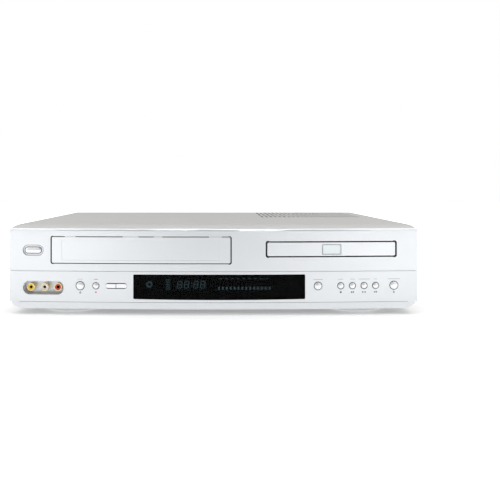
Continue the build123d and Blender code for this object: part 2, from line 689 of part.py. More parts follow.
groove_z = (Z_GROOVE - GROOVE_H / 2, Z_GROOVE + GROOVE_H / 2)
with BuildPart() as front_panel:
    add(bow_slab(WIDTH / 2, 0, Y_JOINT, groove_z[1], Z_JOINT))
    top_edges = front_panel.edges().group_by(Axis.Z)[-1].filter_by(GeomType.CIRCLE)
    fillet(top_edges, PANEL_EDGE_R)
    add(bow_slab(WIDTH / 2 - GROOVE_INSET, GROOVE_INSET, Y_JOINT, *groove_z))
    add(bow_slab(WIDTH / 2, LOWER_INSET, Y_JOINT, Z_SKIRT, groove_z[0]))
    add(bow_slab(WIDTH / 2 - SKIRT_INSET, SKIRT_INSET, Y_JOINT, FOOT_H, Z_SKIRT))
    corner_x = WIDTH / 2 - SKIRT_INSET - SKIRT_CORNER
    for side, start in ((-1, 180), (1, 270)):
        with BuildSketch(facing(Y_JOINT)):
            with BuildLine():
                middle = (side * corner_x, Z_SKIRT)
                turn = EllipticalCenterArc(middle, SKIRT_CORNER, SKIRT_H, start, arc_size=90)
                low_out = (side * WIDTH / 2, FOOT_H)
                ends = (turn @ 0, turn @ 1)
                outer = ends[0] if side < 0 else ends[1]
                inner = ends[1] if side < 0 else ends[0]
                Polyline(inner, low_out, (side * WIDTH / 2, Z_SKIRT), outer)
            make_face()
        extrude(amount=BODY_DEPTH / 4, mode=Mode.SUBTRACT)
    cavity_z = (FOOT_H - OVERLAP, Z_JOINT - PANEL_WALL)
    add(bow_slab(WIDTH / 2 - PANEL_END_WALL, PANEL_WALL, Y_JOINT + OVERLAP, *cavity_z), mode=Mode.SUBTRACT)
    # lips that reach into the case, the lower one over the pan
    lip_half = corner_x - LIP_SHEET
    top_half = PAN_HALF - LIP_SET
    lip_top = Z_JOINT - SHEET - CASE_GAP - LIP_FIT
    lip_y = (Y_JOINT - OVERLAP, Y_JOINT + LIP_DEPTH)
    add(box_between((-top_half, top_half), (lip_y[0] - LIP_ROOT, lip_y[1]), (lip_top - LIP_SHEET, lip_top)))
    add(box_between((-lip_half, lip_half), lip_y, (PAN_TOP, PAN_TOP + LIP_SHEET)))
    for side in (-1, 1):
        lip_end = sorted((side * top_half, side * (top_half - LIP_SHEET)))
        add(box_between(lip_end, lip_y, (Z_SKIRT, lip_top)))
    add(bow_slab(lip_half, PANEL_WALL - OVERLAP, Y_JOINT, FOOT_H, PAN_TOP + LIP_SHEET))
    # posts that carry the boards
    for x, z in POSTS + POWER_POSTS:
        add(rod_y(x, z, bow_y(x, PANEL_WALL - OVERLAP), FRONT_BOARD_Y, POST_R))
    # cup round the front sockets
    with BuildSketch(facing(AV_BACK + AV_WALL, AV_X, AV_Z)):
        SlotOverall(AV_RECESS_W + 2 * AV_WALL, AV_RECESS_H + 2 * AV_WALL)
    extrude(amount=AV_RECESS_DEPTH - LOWER_INSET)
    with BuildSketch(facing(AV_BACK, AV_X, AV_Z)):
        SlotOverall(AV_RECESS_W, AV_RECESS_H)
    extrude(amount=AV_RECESS_DEPTH + BOW, mode=Mode.SUBTRACT)
    for x in AV_SPOTS:
        neck_y = (AV_BACK - OVERLAP, AV_BACK + AV_WALL + OVERLAP)
        add(rod_y(x, AV_Z, *neck_y, JACK_NECK_R + JACK_FIT), mode=Mode.SUBTRACT)
    # openings
    with BuildSketch(facing(Y_JOINT + OVERLAP)):
        with Locations((DECK_X, door_z)):
            RectangleRounded(DOOR_OPEN_W, DOOR_OPEN_H, CORNER_R)
        with Locations((DISC_X, tray_z)):
            RectangleRounded(TRAY_OPEN_W, TRAY_OPEN_H, CORNER_R)
    extrude(amount=Y_JOINT - Y_FRONT + 2 * OVERLAP, mode=Mode.SUBTRACT)
    add(window_shape(WINDOW_FIT, Y_FRONT - OVERLAP, Y_JOINT + OVERLAP), mode=Mode.SUBTRACT)
    add(hinge_rod(PIN_FIT, DOOR_GAP, DOOR_PIN_REACH + PIN_FIT), mode=Mode.SUBTRACT)
    # power button's dish, square to the front there
    dish_normal = Vector(POWER_X, bow_y(POWER_X) - Y_BOW_CENTRE, 0).normalized()
    dish_top = Vector(POWER_X, bow_y(POWER_X), POWER_Z)
    dish_x = Vector(0, 0, 1).cross(dish_normal)
    with BuildSketch(Plane(dish_top, x_dir=dish_x, z_dir=dish_normal)):
        SlotOverall(POWER_DISH_W, POWER_DISH_H)
    extrude(amount=-POWER_DISH_DEPTH, mode=Mode.SUBTRACT, taper=POWER_DISH_SLOPE)
    for x, z, width, height, _ in BUTTONS.values():
        add(button_hole(x, z, width, height), mode=Mode.SUBTRACT)
    add(button_hole(ROCKER_X, LOWER_BUTTON_Z, ROCKER_W, ROCKER_H), mode=Mode.SUBTRACT)
save(front_panel, "front_panel")

# ---- Top cover: bent sheet with a fall at the front and vents over the boards ----


def cover_block(inset, y0, y1, low):
    """Cover's filled outline, moved in by inset, from y0 back to y1."""
    top = HEIGHT - inset
    half = CASE_HALF - inset
    fall_end = Y_JOINT + COVER_FALL
    drop = PANEL_TOP_DROP
    fall_r = (COVER_FALL**2 + drop**2) / (2 * drop)
    half_turn = atan2(COVER_FALL, fall_r - drop) / 2
    turns = (2 * half_turn, half_turn)
    reach = fall_r - inset
    first, mid = [(fall_end - reach * sin(turn), top - reach * (1 - cos(turn))) for turn in turns]
    with BuildPart() as block:
        with BuildSketch(Plane.YZ.offset(-half)):
            with BuildLine():
                fall = ThreePointArc(first, mid, (fall_end, top))
                Polyline(fall @ 1, (y1, top), (y1, low), (y0, low), (y0, first[1]), fall @ 0)
            make_face()
        extrude(amount=2 * half)
        with BuildSketch(facing(y1 + OVERLAP)) as front:
            with Locations((0, low)):
                Rectangle(2 * half, top - low, align=(Align.CENTER, Align.MIN))
            fillet(front.vertices().group_by(Axis.Y)[-1], COVER_SIDE_R - inset)
        extrude(amount=y1 - y0 + COVER_FALL, mode=Mode.INTERSECT)
    return block.part


VENT_MID_X = RIGHT - VENT_FIRST_SIDE + VENT_PITCH * (VENT_COLUMNS - 1) / 2
VENT_ROW_PITCH = VENT_LENGTH + VENT_BRIDGE
VENT_MID_Y = Y_END + VENT_FIRST_BACK + VENT_LENGTH / 2 + VENT_ROW_PITCH * (VENT_ROWS - 1) / 2
SIDE_SCREWS_Y = (Y_END + SIDE_SCREW_BACK, Y_REAR - SIDE_SCREW_REAR)
SIDE_SCREW_Z = Z_SKIRT + POST_RISE
REAR_SCREWS = [(x, HEIGHT - REAR_SCREW_DROP) for x in (LEFT + REAR_SCREW_ROOM, 0.0, RIGHT - REAR_SCREW_ROOM)]
with BuildPart() as top_cover:
    add(cover_block(0.0, Y_JOINT - COVER_TRIM, Y_REAR, FOOT_H + COVER_SIDE_LOW))
    inside = cover_block(SHEET, Y_JOINT - 2 * COVER_TRIM, Y_REAR + COVER_TRIM, FOOT_H - COVER_TRIM)
    add(inside, mode=Mode.SUBTRACT)
    trim_y = (Y_JOINT - 2 * COVER_TRIM, Y_JOINT)
    add(box_between((-WIDTH / 2, WIDTH / 2), trim_y, (0.0, HEIGHT + COVER_TRIM)), mode=Mode.SUBTRACT)
    with BuildSketch(Plane.XY.offset(HEIGHT - 3 * SHEET)):
        with Locations((VENT_MID_X, VENT_MID_Y)):
            with GridLocations(VENT_PITCH, VENT_ROW_PITCH, VENT_COLUMNS, VENT_ROWS):
                SlotOverall(VENT_LENGTH, VENT_SLOT, rotation=90)
    extrude(amount=4 * SHEET, mode=Mode.SUBTRACT)
    for y in SIDE_SCREWS_Y:
        add(rod_x(y, SIDE_SCREW_Z, LEFT, RIGHT, SCREW_R + SCREW_FIT), mode=Mode.SUBTRACT)
save(top_cover, "top_cover")

# ---- Bottom pan with turned-up sides and stand-offs ----


def corners(x, y, margin):
    """Four places just inside a board's corners."""
    return [(px, py) for px in (x[0] + margin, x[1] - margin) for py in (y[0] + margin, y[1] - margin)]


def trough(inset, y0, y1, top):
    """Filled outline of the case's lower part, its long edges rounded like the skirt's corners."""
    half = PAN_HALF - inset
    flat = half - SKIRT_CORNER + inset
    low = FOOT_H + inset
    with BuildPart() as block:
        with BuildSketch(facing(y1)):
            with BuildLine():
                round_x = half - flat
                round_z = Z_SKIRT - low
                left = EllipticalCenterArc((-flat, Z_SKIRT), round_x, round_z, 180, arc_size=90)
                right = EllipticalCenterArc((flat, Z_SKIRT), round_x, round_z, 270, arc_size=90)
                Line(left @ 1, right @ 0)
                Polyline(right @ 1, (half, top), (-half, top), left @ 0)
            make_face()
        extrude(amount=y1 - y0)
    return block.part


STANDS = corners(MAIN_BOARD_X, MAIN_BOARD_Y, STAND_MARGIN)
STANDS += corners(POWER_BOARD_X, POWER_BOARD_Y, STAND_MARGIN)
PAN_FLANGE_TOP = Z_SKIRT + PAN_FLANGE_RISE
with BuildPart() as bottom_pan:
    add(trough(0.0, Y_JOINT + CASE_GAP, Y_REAR, PAN_FLANGE_TOP))
    add(trough(PAN_SHEET, Y_JOINT, Y_REAR + OVERLAP, PAN_FLANGE_TOP + OVERLAP), mode=Mode.SUBTRACT)
    for x, y in STANDS:
        add(rod_z(x, y, PAN_TOP, BOARD_LOW, STAND_R))
    with BuildSketch(Plane.XY.offset(FOOT_H)):
        with Locations((DISC_X, MAIN_BOARD_Y[0] + PAN_VENT_BACK)):
            with GridLocations(*PAN_VENT_PITCH, PAN_VENT_COLUMNS, PAN_VENT_ROWS):
                SlotOverall(*PAN_VENT_SLOT, rotation=90)
    extrude(amount=PAN_SHEET, mode=Mode.SUBTRACT)
    for y in SIDE_SCREWS_Y:
        add(rod_x(y, SIDE_SCREW_Z, LEFT, RIGHT, SCREW_R + SCREW_FIT / 3), mode=Mode.SUBTRACT)
save(bottom_pan, "bottom_pan")

# ---- Feet and pads ----
FRONT_FOOT_Y = Y_END + FRONT_FOOT_BACK + FRONT_FOOT_R
FOOT_COLUMNS = (LEFT + FOOT_ROOM, RIGHT - FOOT_ROOM)
FOOT_SPOTS = [(x, FRONT_FOOT_Y, FRONT_FOOT_R) for x in FOOT_COLUMNS]
FOOT_SPOTS += [(x, Y_REAR - REAR_FOOT_ROOM, REAR_FOOT_R) for x in FOOT_COLUMNS]
with BuildPart() as feet:
    for x, y, radius in FOOT_SPOTS:
        with BuildSketch(facing(y, x)):
            with BuildLine():
                wall_end = (radius, FOOT_H * FOOT_WALL)
                sole_end = (radius - FOOT_H * FOOT_TURN[0], PAD_PROUD)
                round_edge = RadiusArc(wall_end, sole_end, FOOT_H * FOOT_TURN[1])
                Polyline(round_edge @ 1, (0, PAD_PROUD), (0, FOOT_H), (radius, FOOT_H), round_edge @ 0)
            make_face()
        revolve(axis=Axis((x, y, 0), (0, 0, 1)))
        add(rod_z(x, y, 0, PAD_T, PAD_R), mode=Mode.SUBTRACT)
save(feet, "feet")

with BuildPart() as foot_pads:
    for x, y, radius in FOOT_SPOTS:
        add(rod_z(x, y, 0, PAD_T, PAD_R))
    fillet(foot_pads.edges().group_by(Axis.Z)[0], PAD_EDGE_R)
save(foot_pads, "foot_pads")

# ---- Display window, tube and front boards ----
with BuildPart() as display_window:
    add(window_shape(0.0, Y_FRONT - OVERLAP, Y_JOINT))
    pane_x = (WINDOW_LEFT - OVERLAP, WINDOW_RIGHT + OVERLAP)
    add(bow_block(*pane_x, LOWER_INSET, LOWER_INSET + WINDOW_T, 0, Z_GROOVE), mode=Mode.INTERSECT)
save(display_window, "display_window")

TUBE_X = (WINDOW_LEFT + TUBE_MARGIN[0], WINDOW_RIGHT - TUBE_MARGIN[1])
TUBE_Z = (WINDOW_LOW + TUBE_RISE[0], WINDOW_TOP - TUBE_RISE[1])
with BuildPart() as display_tube:
    add(box_between(TUBE_X, (FRONT_BOARD_Y - TUBE_T, FRONT_BOARD_Y), TUBE_Z))
    fillet(display_tube.edges().filter_by(Axis.Y), TUBE_CORNER)
save(display_tube, "display_tube")

with BuildPart() as front_board:
    board_y = (FRONT_BOARD_Y, FRONT_BOARD_Y + BOARD_T)
    board_x = (LEFT + FRONT_BOARD_LEFT_ROOM, RIGHT - FRONT_BOARD_RIGHT_ROOM)
    add(box_between(board_x, board_y, (BOARD_LOW, Z_GROOVE - FRONT_BOARD_DROP)))
    card_x = (POWER_X - POWER_CARD_HALF[0], POWER_X + POWER_CARD_HALF[0])
    card_z = (POWER_Z - POWER_CARD_HALF[1], POWER_Z + POWER_CARD_HALF[1])
    add(box_between(card_x, board_y, card_z))
save(front_board, "front_board")

with BuildPart() as tact_switches:
    for x, z in SWITCH_SPOTS:
        size = SWITCH_SIZE / 2
        body_y = (FRONT_BOARD_Y - SWITCH_BODY, FRONT_BOARD_Y)
        add(box_between((x - size, x + size), body_y, (z - size, z + size)))
        add(rod_y(x, z, body_y[0] - SWITCH_PLUNGER, body_y[0], SWITCH_PLUNGER_R))
save(tact_switches, "tact_switches")


# ---- Buttons ----
def button(name, x, z, width, height, inset, travel, part_side=0):
    """Head that follows the bow, with a retaining flange and a stem to its switch."""
    front_y = bow_y(x, inset)
    wall = POWER_DISH_DEPTH if name == "power_button" else LOWER_INSET
    slope_room = hypot(width, 2 * BUTTON_FIT) * abs(x) / BOW_R / 2
    flange_y = bow_y(x, max(PANEL_WALL, wall)) + slope_room + BUTTON_FIT
    with BuildPart() as knob:
        with BuildSketch(facing(flange_y, x if not part_side else ROCKER_X, z)) as head:
            if width > height:
                SlotOverall(width, height)
            else:
                Circle(width / 2)
            if part_side:
                keep = part_side * (ROCKER_SPLIT / 2 + ROCKER_HALF / 2)
                with Locations((keep, 0)):
                    Rectangle(ROCKER_HALF, height, mode=Mode.INTERSECT)
        extrude(amount=flange_y - front_y + BOW)
        reach = width / 2 + OVERLAP
        middle = ROCKER_X if part_side else x
        keep_z = (z - height, z + height)
        add(bow_block(middle - reach, middle + reach, inset, 3 * BOW, *keep_z), mode=Mode.INTERSECT)
        rim = knob.faces().sort_by(Axis.Y)[0].edges()
        fillet(rim, BUTTON_EDGE_R)
        grown = BUTTON_FIT + BUTTON_GROWN
        flange_w = (ROCKER_HALF - 2 * ROCKER_SPLIT) / 2 if part_side else width / 2 + grown
        flange_x = (x - flange_w, x + flange_w)
        flange_z = (z - height / 2 - grown, z + height / 2 + grown)
        add(box_between(flange_x, (flange_y, flange_y + BUTTON_FLANGE_T), flange_z))
        add(rod_y(x, z, flange_y + BUTTON_FLANGE_T, STEM_END - travel, BUTTON_STEM_R))
    save(knob, name)
    return knob.part


for name, (x, z, width, height, inset) in BUTTONS.items():
    button(name, x, z, width, height, inset, POWER_TRAVEL if name == "power_button" else BUTTON_TRAVEL)
for name, side in ROCKERS.items():
    spot = ROCKER_X + side * ROCKER_HALF / 2
    button(name, spot, LOWER_BUTTON_Z, ROCKER_W, ROCKER_H, LOWER_INSET - BUTTON_PROUD, BUTTON_TRAVEL, side)

# ---- Front sockets ----
SHELL_FRONT = AV_BACK - JACK_REACH
SHELL_BACK = AV_BACK + AV_WALL + JACK_FLANGE_T
with BuildPart() as av_jack_shells:
    for x in AV_SPOTS:
        add(rod_y(x, AV_Z, SHELL_FRONT, AV_BACK, JACK_R))
        add(rod_y(x, AV_Z, AV_BACK, SHELL_BACK, JACK_NECK_R))
        add(rod_y(x, AV_Z, AV_BACK + AV_WALL, SHELL_BACK, JACK_FLANGE_R))
        add(rod_y(x, AV_Z, SHELL_FRONT, SHELL_BACK, JACK_BORE_R), mode=Mode.SUBTRACT)
save(av_jack_shells, "av_jack_shells")


def jack_insert(x, z, y_front, y_back):
    """Insulating plug inside a socket's shell, with the hole for the centre pin."""
    with BuildPart() as plug:
        add(rod_y(x, z, y_front, y_back, JACK_BORE_R))
        add(rod_y(x, z, y_front, y_back - JACK_FLOOR, JACK_HOLE_R), mode=Mode.SUBTRACT)
    return plug


for x, colour in zip(AV_SPOTS, ("yellow", "white", "red")):
    save(jack_insert(x, AV_Z, SHELL_FRONT + INSERT_SET, SHELL_BACK), f"av_insert_{colour}")

# ---- Rear panel and its sockets ----
REAR_IN = Y_REAR - PAN_SHEET
REAR_TOP = HEIGHT - SHEET - CASE_GAP
SOCKET_TIP = Y_REAR + REAR_REACH
REAR_JACKS = [
    (REAR_JACK_X + column * REAR_JACK_PITCH, REAR_JACK_LOW_Z + row * REAR_JACK_PITCH)
    for column in range(REAR_JACK_COLUMNS)
    for row in range(REAR_JACK_ROWS)
]
TUNER_SPOTS = [(TUNER_X + side * TUNER_PITCH / 2, TUNER_SOCKET_Z) for side in (-1, 1)]
jack_mid_x = REAR_JACK_X + REAR_JACK_PITCH * (REAR_JACK_COLUMNS - 1) / 2
jack_mid_z = REAR_JACK_LOW_Z + REAR_JACK_PITCH * (REAR_JACK_ROWS - 1) / 2
plate_w = REAR_JACK_PITCH * REAR_JACK_COLUMNS + JACK_PLATE_MARGIN
plate_h = REAR_JACK_PITCH * REAR_JACK_ROWS + JACK_PLATE_MARGIN
with BuildPart() as rear_panel:
    add(trough(PAN_SHEET, REAR_IN, Y_REAR, REAR_TOP))
    fillet(rear_panel.edges().filter_by(Axis.Y).group_by(Axis.Z)[-1], COVER_SIDE_R - SHEET)
    with BuildSketch(facing(Y_REAR + OVERLAP)):
        with Locations((jack_mid_x, jack_mid_z)):
            RectangleRounded(plate_w + 2 * REAR_FIT, plate_h + 2 * REAR_FIT, JACK_BLOCK_CORNER + REAR_FIT)
        with Locations((INLET_X, INLET_Z)):
            RectangleRounded(INLET_W + 2 * REAR_FIT, INLET_H + 2 * REAR_FIT, INLET_CORNER + REAR_FIT)
        with Locations(*TUNER_SPOTS):
            Circle(TUNER_SOCKET_R + TUNER_MARGIN)
        with Locations((RIGHT - REAR_VENT_ROOM, HEIGHT - REAR_VENT_DROP)):
            with GridLocations(*REAR_VENT_PITCH, REAR_VENT_COLUMNS, REAR_VENT_ROWS):
                SlotOverall(*REAR_VENT_SLOT, rotation=90)
        with Locations(*REAR_SCREWS):
            Circle(SCREW_R + SCREW_FIT)
    extrude(amount=PAN_SHEET + 2 * OVERLAP, mode=Mode.SUBTRACT)
save(rear_panel, "rear_panel")

BLOCK_Y = (REAR_IN - JACK_BLOCK_D, Y_REAR + JACK_BLOCK_PROUD)
NECK_Y = BLOCK_Y[0] + JACK_BLOCK_WALL
with BuildPart() as rear_jack_block:
    block_x = (jack_mid_x - plate_w / 2, jack_mid_x + plate_w / 2)
    add(box_between(block_x, BLOCK_Y, (jack_mid_z - plate_h / 2, jack_mid_z + plate_h / 2)))
    fillet(rear_jack_block.edges().filter_by(Axis.Y), JACK_BLOCK_CORNER)
    add(box_between(block_x, (BLOCK_Y[0], MAIN_BOARD_Y[1]), (BOARD_TOP, jack_mid_z)))
    for x, z in REAR_JACKS:
        add(rod_y(x, z, NECK_Y, BLOCK_Y[1], JACK_NECK_R), mode=Mode.SUBTRACT)
save(rear_jack_block, "rear_jack_block")

with BuildPart() as rear_jack_shells:
    for x, z in REAR_JACKS:
        add(rod_y(x, z, NECK_Y, BLOCK_Y[1], JACK_NECK_R))
        add(rod_y(x, z, BLOCK_Y[1], SOCKET_TIP, JACK_R))
        add(rod_y(x, z, NECK_Y, SOCKET_TIP, JACK_BORE_R), mode=Mode.SUBTRACT)
save(rear_jack_shells, "rear_jack_shells")

with BuildPart() as rear_jack_inserts:
    for x, z in REAR_JACKS:
        add(rod_y(x, z, NECK_Y, SOCKET_TIP - INSERT_SET, JACK_BORE_R))
        add(rod_y(x, z, NECK_Y + 2 * JACK_FLOOR, SOCKET_TIP, JACK_HOLE_R), mode=Mode.SUBTRACT)
save(rear_jack_inserts, "rear_jack_inserts")

with BuildPart() as antenna_tuner:
    can_x = (TUNER_X - TUNER_HALF, TUNER_X + TUNER_HALF)
    can_y = (REAR_IN - TUNER_DEPTH, REAR_IN)
    add(box_between(can_x, can_y, (PAN_TOP, TUNER_SOCKET_Z + TUNER_OVER)))
    bore_y = Y_REAR - TUNER_BORE_D
    for x, z in TUNER_SPOTS:
        add(rod_y(x, z, REAR_IN, SOCKET_TIP, TUNER_SOCKET_R))
        add(rod_y(x, z, bore_y, SOCKET_TIP, TUNER_BORE_R), mode=Mode.SUBTRACT)
        add(rod_y(x, z, bore_y - OVERLAP, SOCKET_TIP - OVERLAP, TUNER_PIN_R))
save(antenna_tuner, "antenna_tuner")

with BuildPart() as power_inlet:
    with BuildSketch(facing(Y_REAR + OVERLAP, INLET_X, INLET_Z)):
        RectangleRounded(INLET_W, INLET_H, INLET_CORNER)
    extrude(amount=INLET_D)
    inlet_foot = (INLET_X - INLET_FOOT_HALF, INLET_X + INLET_FOOT_HALF)
    add(box_between(inlet_foot, (REAR_IN - INLET_FOOT_D, POWER_BOARD_Y[1]), (BOARD_TOP, INLET_Z)))
    with BuildSketch(facing(Y_REAR + OVERLAP, INLET_X, INLET_Z)):
        SlotOverall(*INLET_BORE[:2])
    extrude(amount=INLET_BORE[2], mode=Mode.SUBTRACT)
    for side in (-1, 1):
        pin_x = INLET_X + side * INLET_PIN_OFFSET
        add(rod_y(pin_x, INLET_Z, Y_REAR - INLET_BORE[2], Y_REAR - INLET_PIN_SET, INLET_PIN_R))
save(power_inlet, "power_inlet")

with BuildPart() as cover_screws:
    for side in (-1, 1):
        for y in SIDE_SCREWS_Y:
            head = sorted((side * CASE_HALF, side * (CASE_HALF + SCREW_HEAD_T)))
            shank = sorted((side * CASE_HALF, side * (CASE_HALF - SCREW_LENGTH)))
            add(rod_x(y, SIDE_SCREW_Z, head[0], head[1], SCREW_HEAD_R))
            add(rod_x(y, SIDE_SCREW_Z, shank[0], shank[1], SCREW_R))
    for x, z in REAR_SCREWS:
        head_y = Y_REAR + REAR_HEAD_T
        add(rod_y(x, z, Y_REAR, head_y, SCREW_HEAD_R))
        add(rod_y(x, z, REAR_IN - REAR_SCREW_LENGTH, Y_REAR, SCREW_R))
        for arm_x, arm_z in ((CROSS_ARM, CROSS_HALF), (CROSS_HALF, CROSS_ARM)):
            arm = box_between((x - arm_x, x + arm_x), (head_y - CROSS_DEPTH, head_y), (z - arm_z, z + arm_z))
            add(arm, mode=Mode.SUBTRACT)
save(cover_screws, "cover_screws")

# ---- Boards and power parts ----
with BuildPart() as main_board:
    add(box_between(MAIN_BOARD_X, MAIN_BOARD_Y, (BOARD_LOW, BOARD_TOP)))
    for along, back, size in CHIPS:
        chip_x = MAIN_BOARD_X[0] + along
        chip_y = MAIN_BOARD_Y[0] + back
        chip = ((chip_x - size / 2, chip_x + size / 2), (chip_y - size / 2, chip_y + size / 2))
        add(box_between(*chip, (BOARD_TOP, BOARD_TOP + CHIP_T)))
save(main_board, "main_board")

with BuildPart() as power_board:
    add(box_between(POWER_BOARD_X, POWER_BOARD_Y, (BOARD_LOW, BOARD_TOP)))
    corner_x, corner_y = POWER_BOARD_X[0], POWER_BOARD_Y[0]
    sink_x = (corner_x + SINK_X, corner_x + SINK_X + SINK_T)
    sink_top = BOARD_TOP + SINK_H
    add(box_between(sink_x, (corner_y + SINK_Y[0], corner_y + SINK_Y[1]), (BOARD_TOP, sink_top)))
    for step in range(FIN_COUNT):
        fin_y = corner_y + FIN_FIRST + step * FIN_PITCH
        fin_x = (sink_x[1], sink_x[1] + FIN_REACH)
        add(box_between(fin_x, (fin_y, fin_y + FIN_T), (BOARD_TOP + FIN_LOW, sink_top)))
    for along, back, radius, tall in CANS + SMALL_CANS:
        add(rod_z(corner_x + along, corner_y + back, BOARD_TOP, BOARD_TOP + tall, radius))
save(power_board, "power_board")

core_x, core_y = (POWER_BOARD_X[0] + CORE_PLACE[0], POWER_BOARD_Y[0] + CORE_PLACE[1])
CORE_X = (core_x, core_x + CORE_SIZE[0])
CORE_Y = (core_y, core_y + CORE_SIZE[1])
CORE_Z = (BOARD_TOP, BOARD_TOP + CORE_SIZE[2])
with BuildPart() as transformer:
    add(box_between(CORE_X, CORE_Y, CORE_Z))
    fillet(transformer.edges().filter_by(Axis.Z), CORE_CORNER)
    winding_x = (CORE_X[0] + WINDING_SET[0], CORE_X[1] - WINDING_SET[0])
    winding_y = (CORE_Y[0] - WINDING_SET[1], CORE_Y[1] + WINDING_SET[1])
    add(box_between(winding_x, winding_y, (CORE_Z[0] + WINDING_SET[2], CORE_Z[1] - WINDING_SET[2])))
save(transformer, "transformer")

# ---- Cassette door ----
with BuildPart() as cassette_door:
    with BuildSketch(facing(Y_JOINT, DECK_X, door_z)):
        RectangleRounded(DOOR_OPEN_W - 2 * DOOR_GAP, DOOR_OPEN_H - 2 * DOOR_GAP, INNER_CORNER_R)
    extrude(amount=Y_JOINT - Y_FRONT)
    add(bow_block(door_left, door_right, 0, DOOR_SHEET, 0, HEIGHT), mode=Mode.INTERSECT)
    recess_low = door_z - DOOR_RECESS_H / 2
    recess = (DECK_X - DOOR_RECESS_W / 2, DECK_X + DOOR_RECESS_W / 2)
    add(bow_block(*recess, -OVERLAP, DOOR_RECESS, recess_low, recess_low + DOOR_RECESS_H), mode=Mode.SUBTRACT)
    add(hinge_rod(0.0, DOOR_PIN_ROOT + DOOR_GAP, DOOR_PIN_REACH))
save(cassette_door, "cassette_door")

# ---- Tape deck plate: floor with turned-up side walls that guide the carrier ----
WALL_OUT = DECK_W / 2
WALL_IN = WALL_OUT - PAN_SHEET
CARRIER_OUT = WALL_IN - CARRIER_GAP
CARRIER_IN = CARRIER_OUT - CARRIER_SHEET
HOLDER_OUT = HOLDER_INNER_W / 2 + HOLDER_SHEET
CARRIER_PINS_Y = (CARRIER_FRONT + CARRIER_PIN_SET, CARRIER_BACK - CARRIER_PIN_SET)
HOLDER_PINS_Y = (CARRIER_FRONT + HOLDER_PIN_SET, CARRIER_BACK - HOLDER_PIN_SET)
SIDES = (-1, 1)
REELS = {"supply_reel": DECK_X - REEL_SPACING / 2, "takeup_reel": DECK_X + REEL_SPACING / 2}
GUIDES = {"guide_post_left": DECK_X - GUIDE_OFFSET, "guide_post_right": DECK_X + GUIDE_OFFSET}


def side_span(side, near, far):
    """X limits of a wall at the given distances either side of the deck's middle."""
    return sorted((DECK_X + side * near, DECK_X + side * far))


with BuildPart() as deck_plate:
    deck_x = (DECK_X - WALL_OUT, DECK_X + WALL_OUT)
    add(box_between(deck_x, (DECK_FRONT, DECK_BACK), (DECK_Z, DECK_TOP)))
    for side in SIDES:
        wall_y = (DECK_FRONT, Y_END + DECK_WALL_BACK)
        add(box_between(side_span(side, WALL_IN, WALL_OUT), wall_y, (DECK_Z, DECK_WALL_TOP)))
    slot_y = (CARRIER_PINS_Y[0], CARRIER_PINS_Y[1] + CARRIER_TRAVEL)
    with BuildSketch(Plane.YZ.offset(DECK_X - WALL_OUT)):
        with Locations(((slot_y[0] + slot_y[1]) / 2, CARRIER_PIN_Z)):
            SlotCenterToCenter(slot_y[1] - slot_y[0], 2 * (CARRIER_PIN_R + SLOT_FIT))
    extrude(amount=DECK_W, mode=Mode.SUBTRACT)
    for x, y in corners(deck_x, (DECK_FRONT, DECK_BACK), DECK_LEG_MARGIN):
        add(rod_z(x, y, PAN_TOP, DECK_Z, DECK_LEG_R))
    for x in REELS.values():
        add(rod_z(x, REEL_Y, DECK_Z, DECK_TOP + REEL_DISC_T, REEL_SHAFT_R))
    for x in GUIDES.values():
        with BuildSketch(Plane.XY.offset(DECK_Z)):
            with Locations((x, GUIDE_Y + GUIDE_TRAVEL / 2)):
                SlotCenterToCenter(GUIDE_TRAVEL, GUIDE_SLOT_W, rotation=90)
        extrude(amount=DECK_SHEET, mode=Mode.SUBTRACT)
    bearing_z = (DECK_Z - BEARING_H[0], DECK_TOP + BEARING_H[1])
    add(rod_z(CAPSTAN_X, CAPSTAN_Y, *bearing_z, CAPSTAN_R + BEARING_WALL))
    add(rod_z(CAPSTAN_X, CAPSTAN_Y, *bearing_z, CAPSTAN_R + SHAFT_FIT), mode=Mode.SUBTRACT)
    boss_top = DECK_TOP + PIVOT_BOSS_H
    add(rod_z(PINCH_PIVOT_X, PINCH_PIVOT_Y, DECK_TOP, boss_top, PIVOT_BOSS_R))
    add(rod_z(PINCH_PIVOT_X, PINCH_PIVOT_Y, DECK_TOP, boss_top + PIVOT_H, PIVOT_R))
save(deck_plate, "deck_plate")

# ---- Carrier and holder that take the cassette in and down ----
with BuildPart() as carrier_rails:
    for side in SIDES:
        wall = side_span(side, CARRIER_IN, CARRIER_OUT)
        add(box_between(wall, (CARRIER_FRONT, CARRIER_BACK), (CARRIER_LOW, DECK_WALL_TOP)))
    bar_mid = (CARRIER_FRONT + CARRIER_BACK) / 2
    bar_x = (DECK_X - CARRIER_OUT, DECK_X + CARRIER_OUT)
    bar_y = (bar_mid - CARRIER_BAR_D / 2, bar_mid + CARRIER_BAR_D / 2)
    add(box_between(bar_x, bar_y, (DECK_WALL_TOP - CARRIER_SHEET, DECK_WALL_TOP)))
    for y in HOLDER_PINS_Y:
        with BuildSketch(Plane.YZ.offset(DECK_X - CARRIER_OUT)):
            with Locations((y, HOLDER_PIN_Z - HOLDER_DROP / 2)):
                SlotCenterToCenter(HOLDER_DROP, 2 * (HOLDER_PIN_R + SLOT_FIT), rotation=90)
        extrude(amount=2 * CARRIER_OUT, mode=Mode.SUBTRACT)
    for side in SIDES:
        for y in CARRIER_PINS_Y:
            reach = side_span(side, CARRIER_OUT, WALL_OUT + CARRIER_PIN_REACH)
            add(rod_x(y, CARRIER_PIN_Z, reach[0], reach[1], CARRIER_PIN_R))
save(carrier_rails, "carrier_rails")

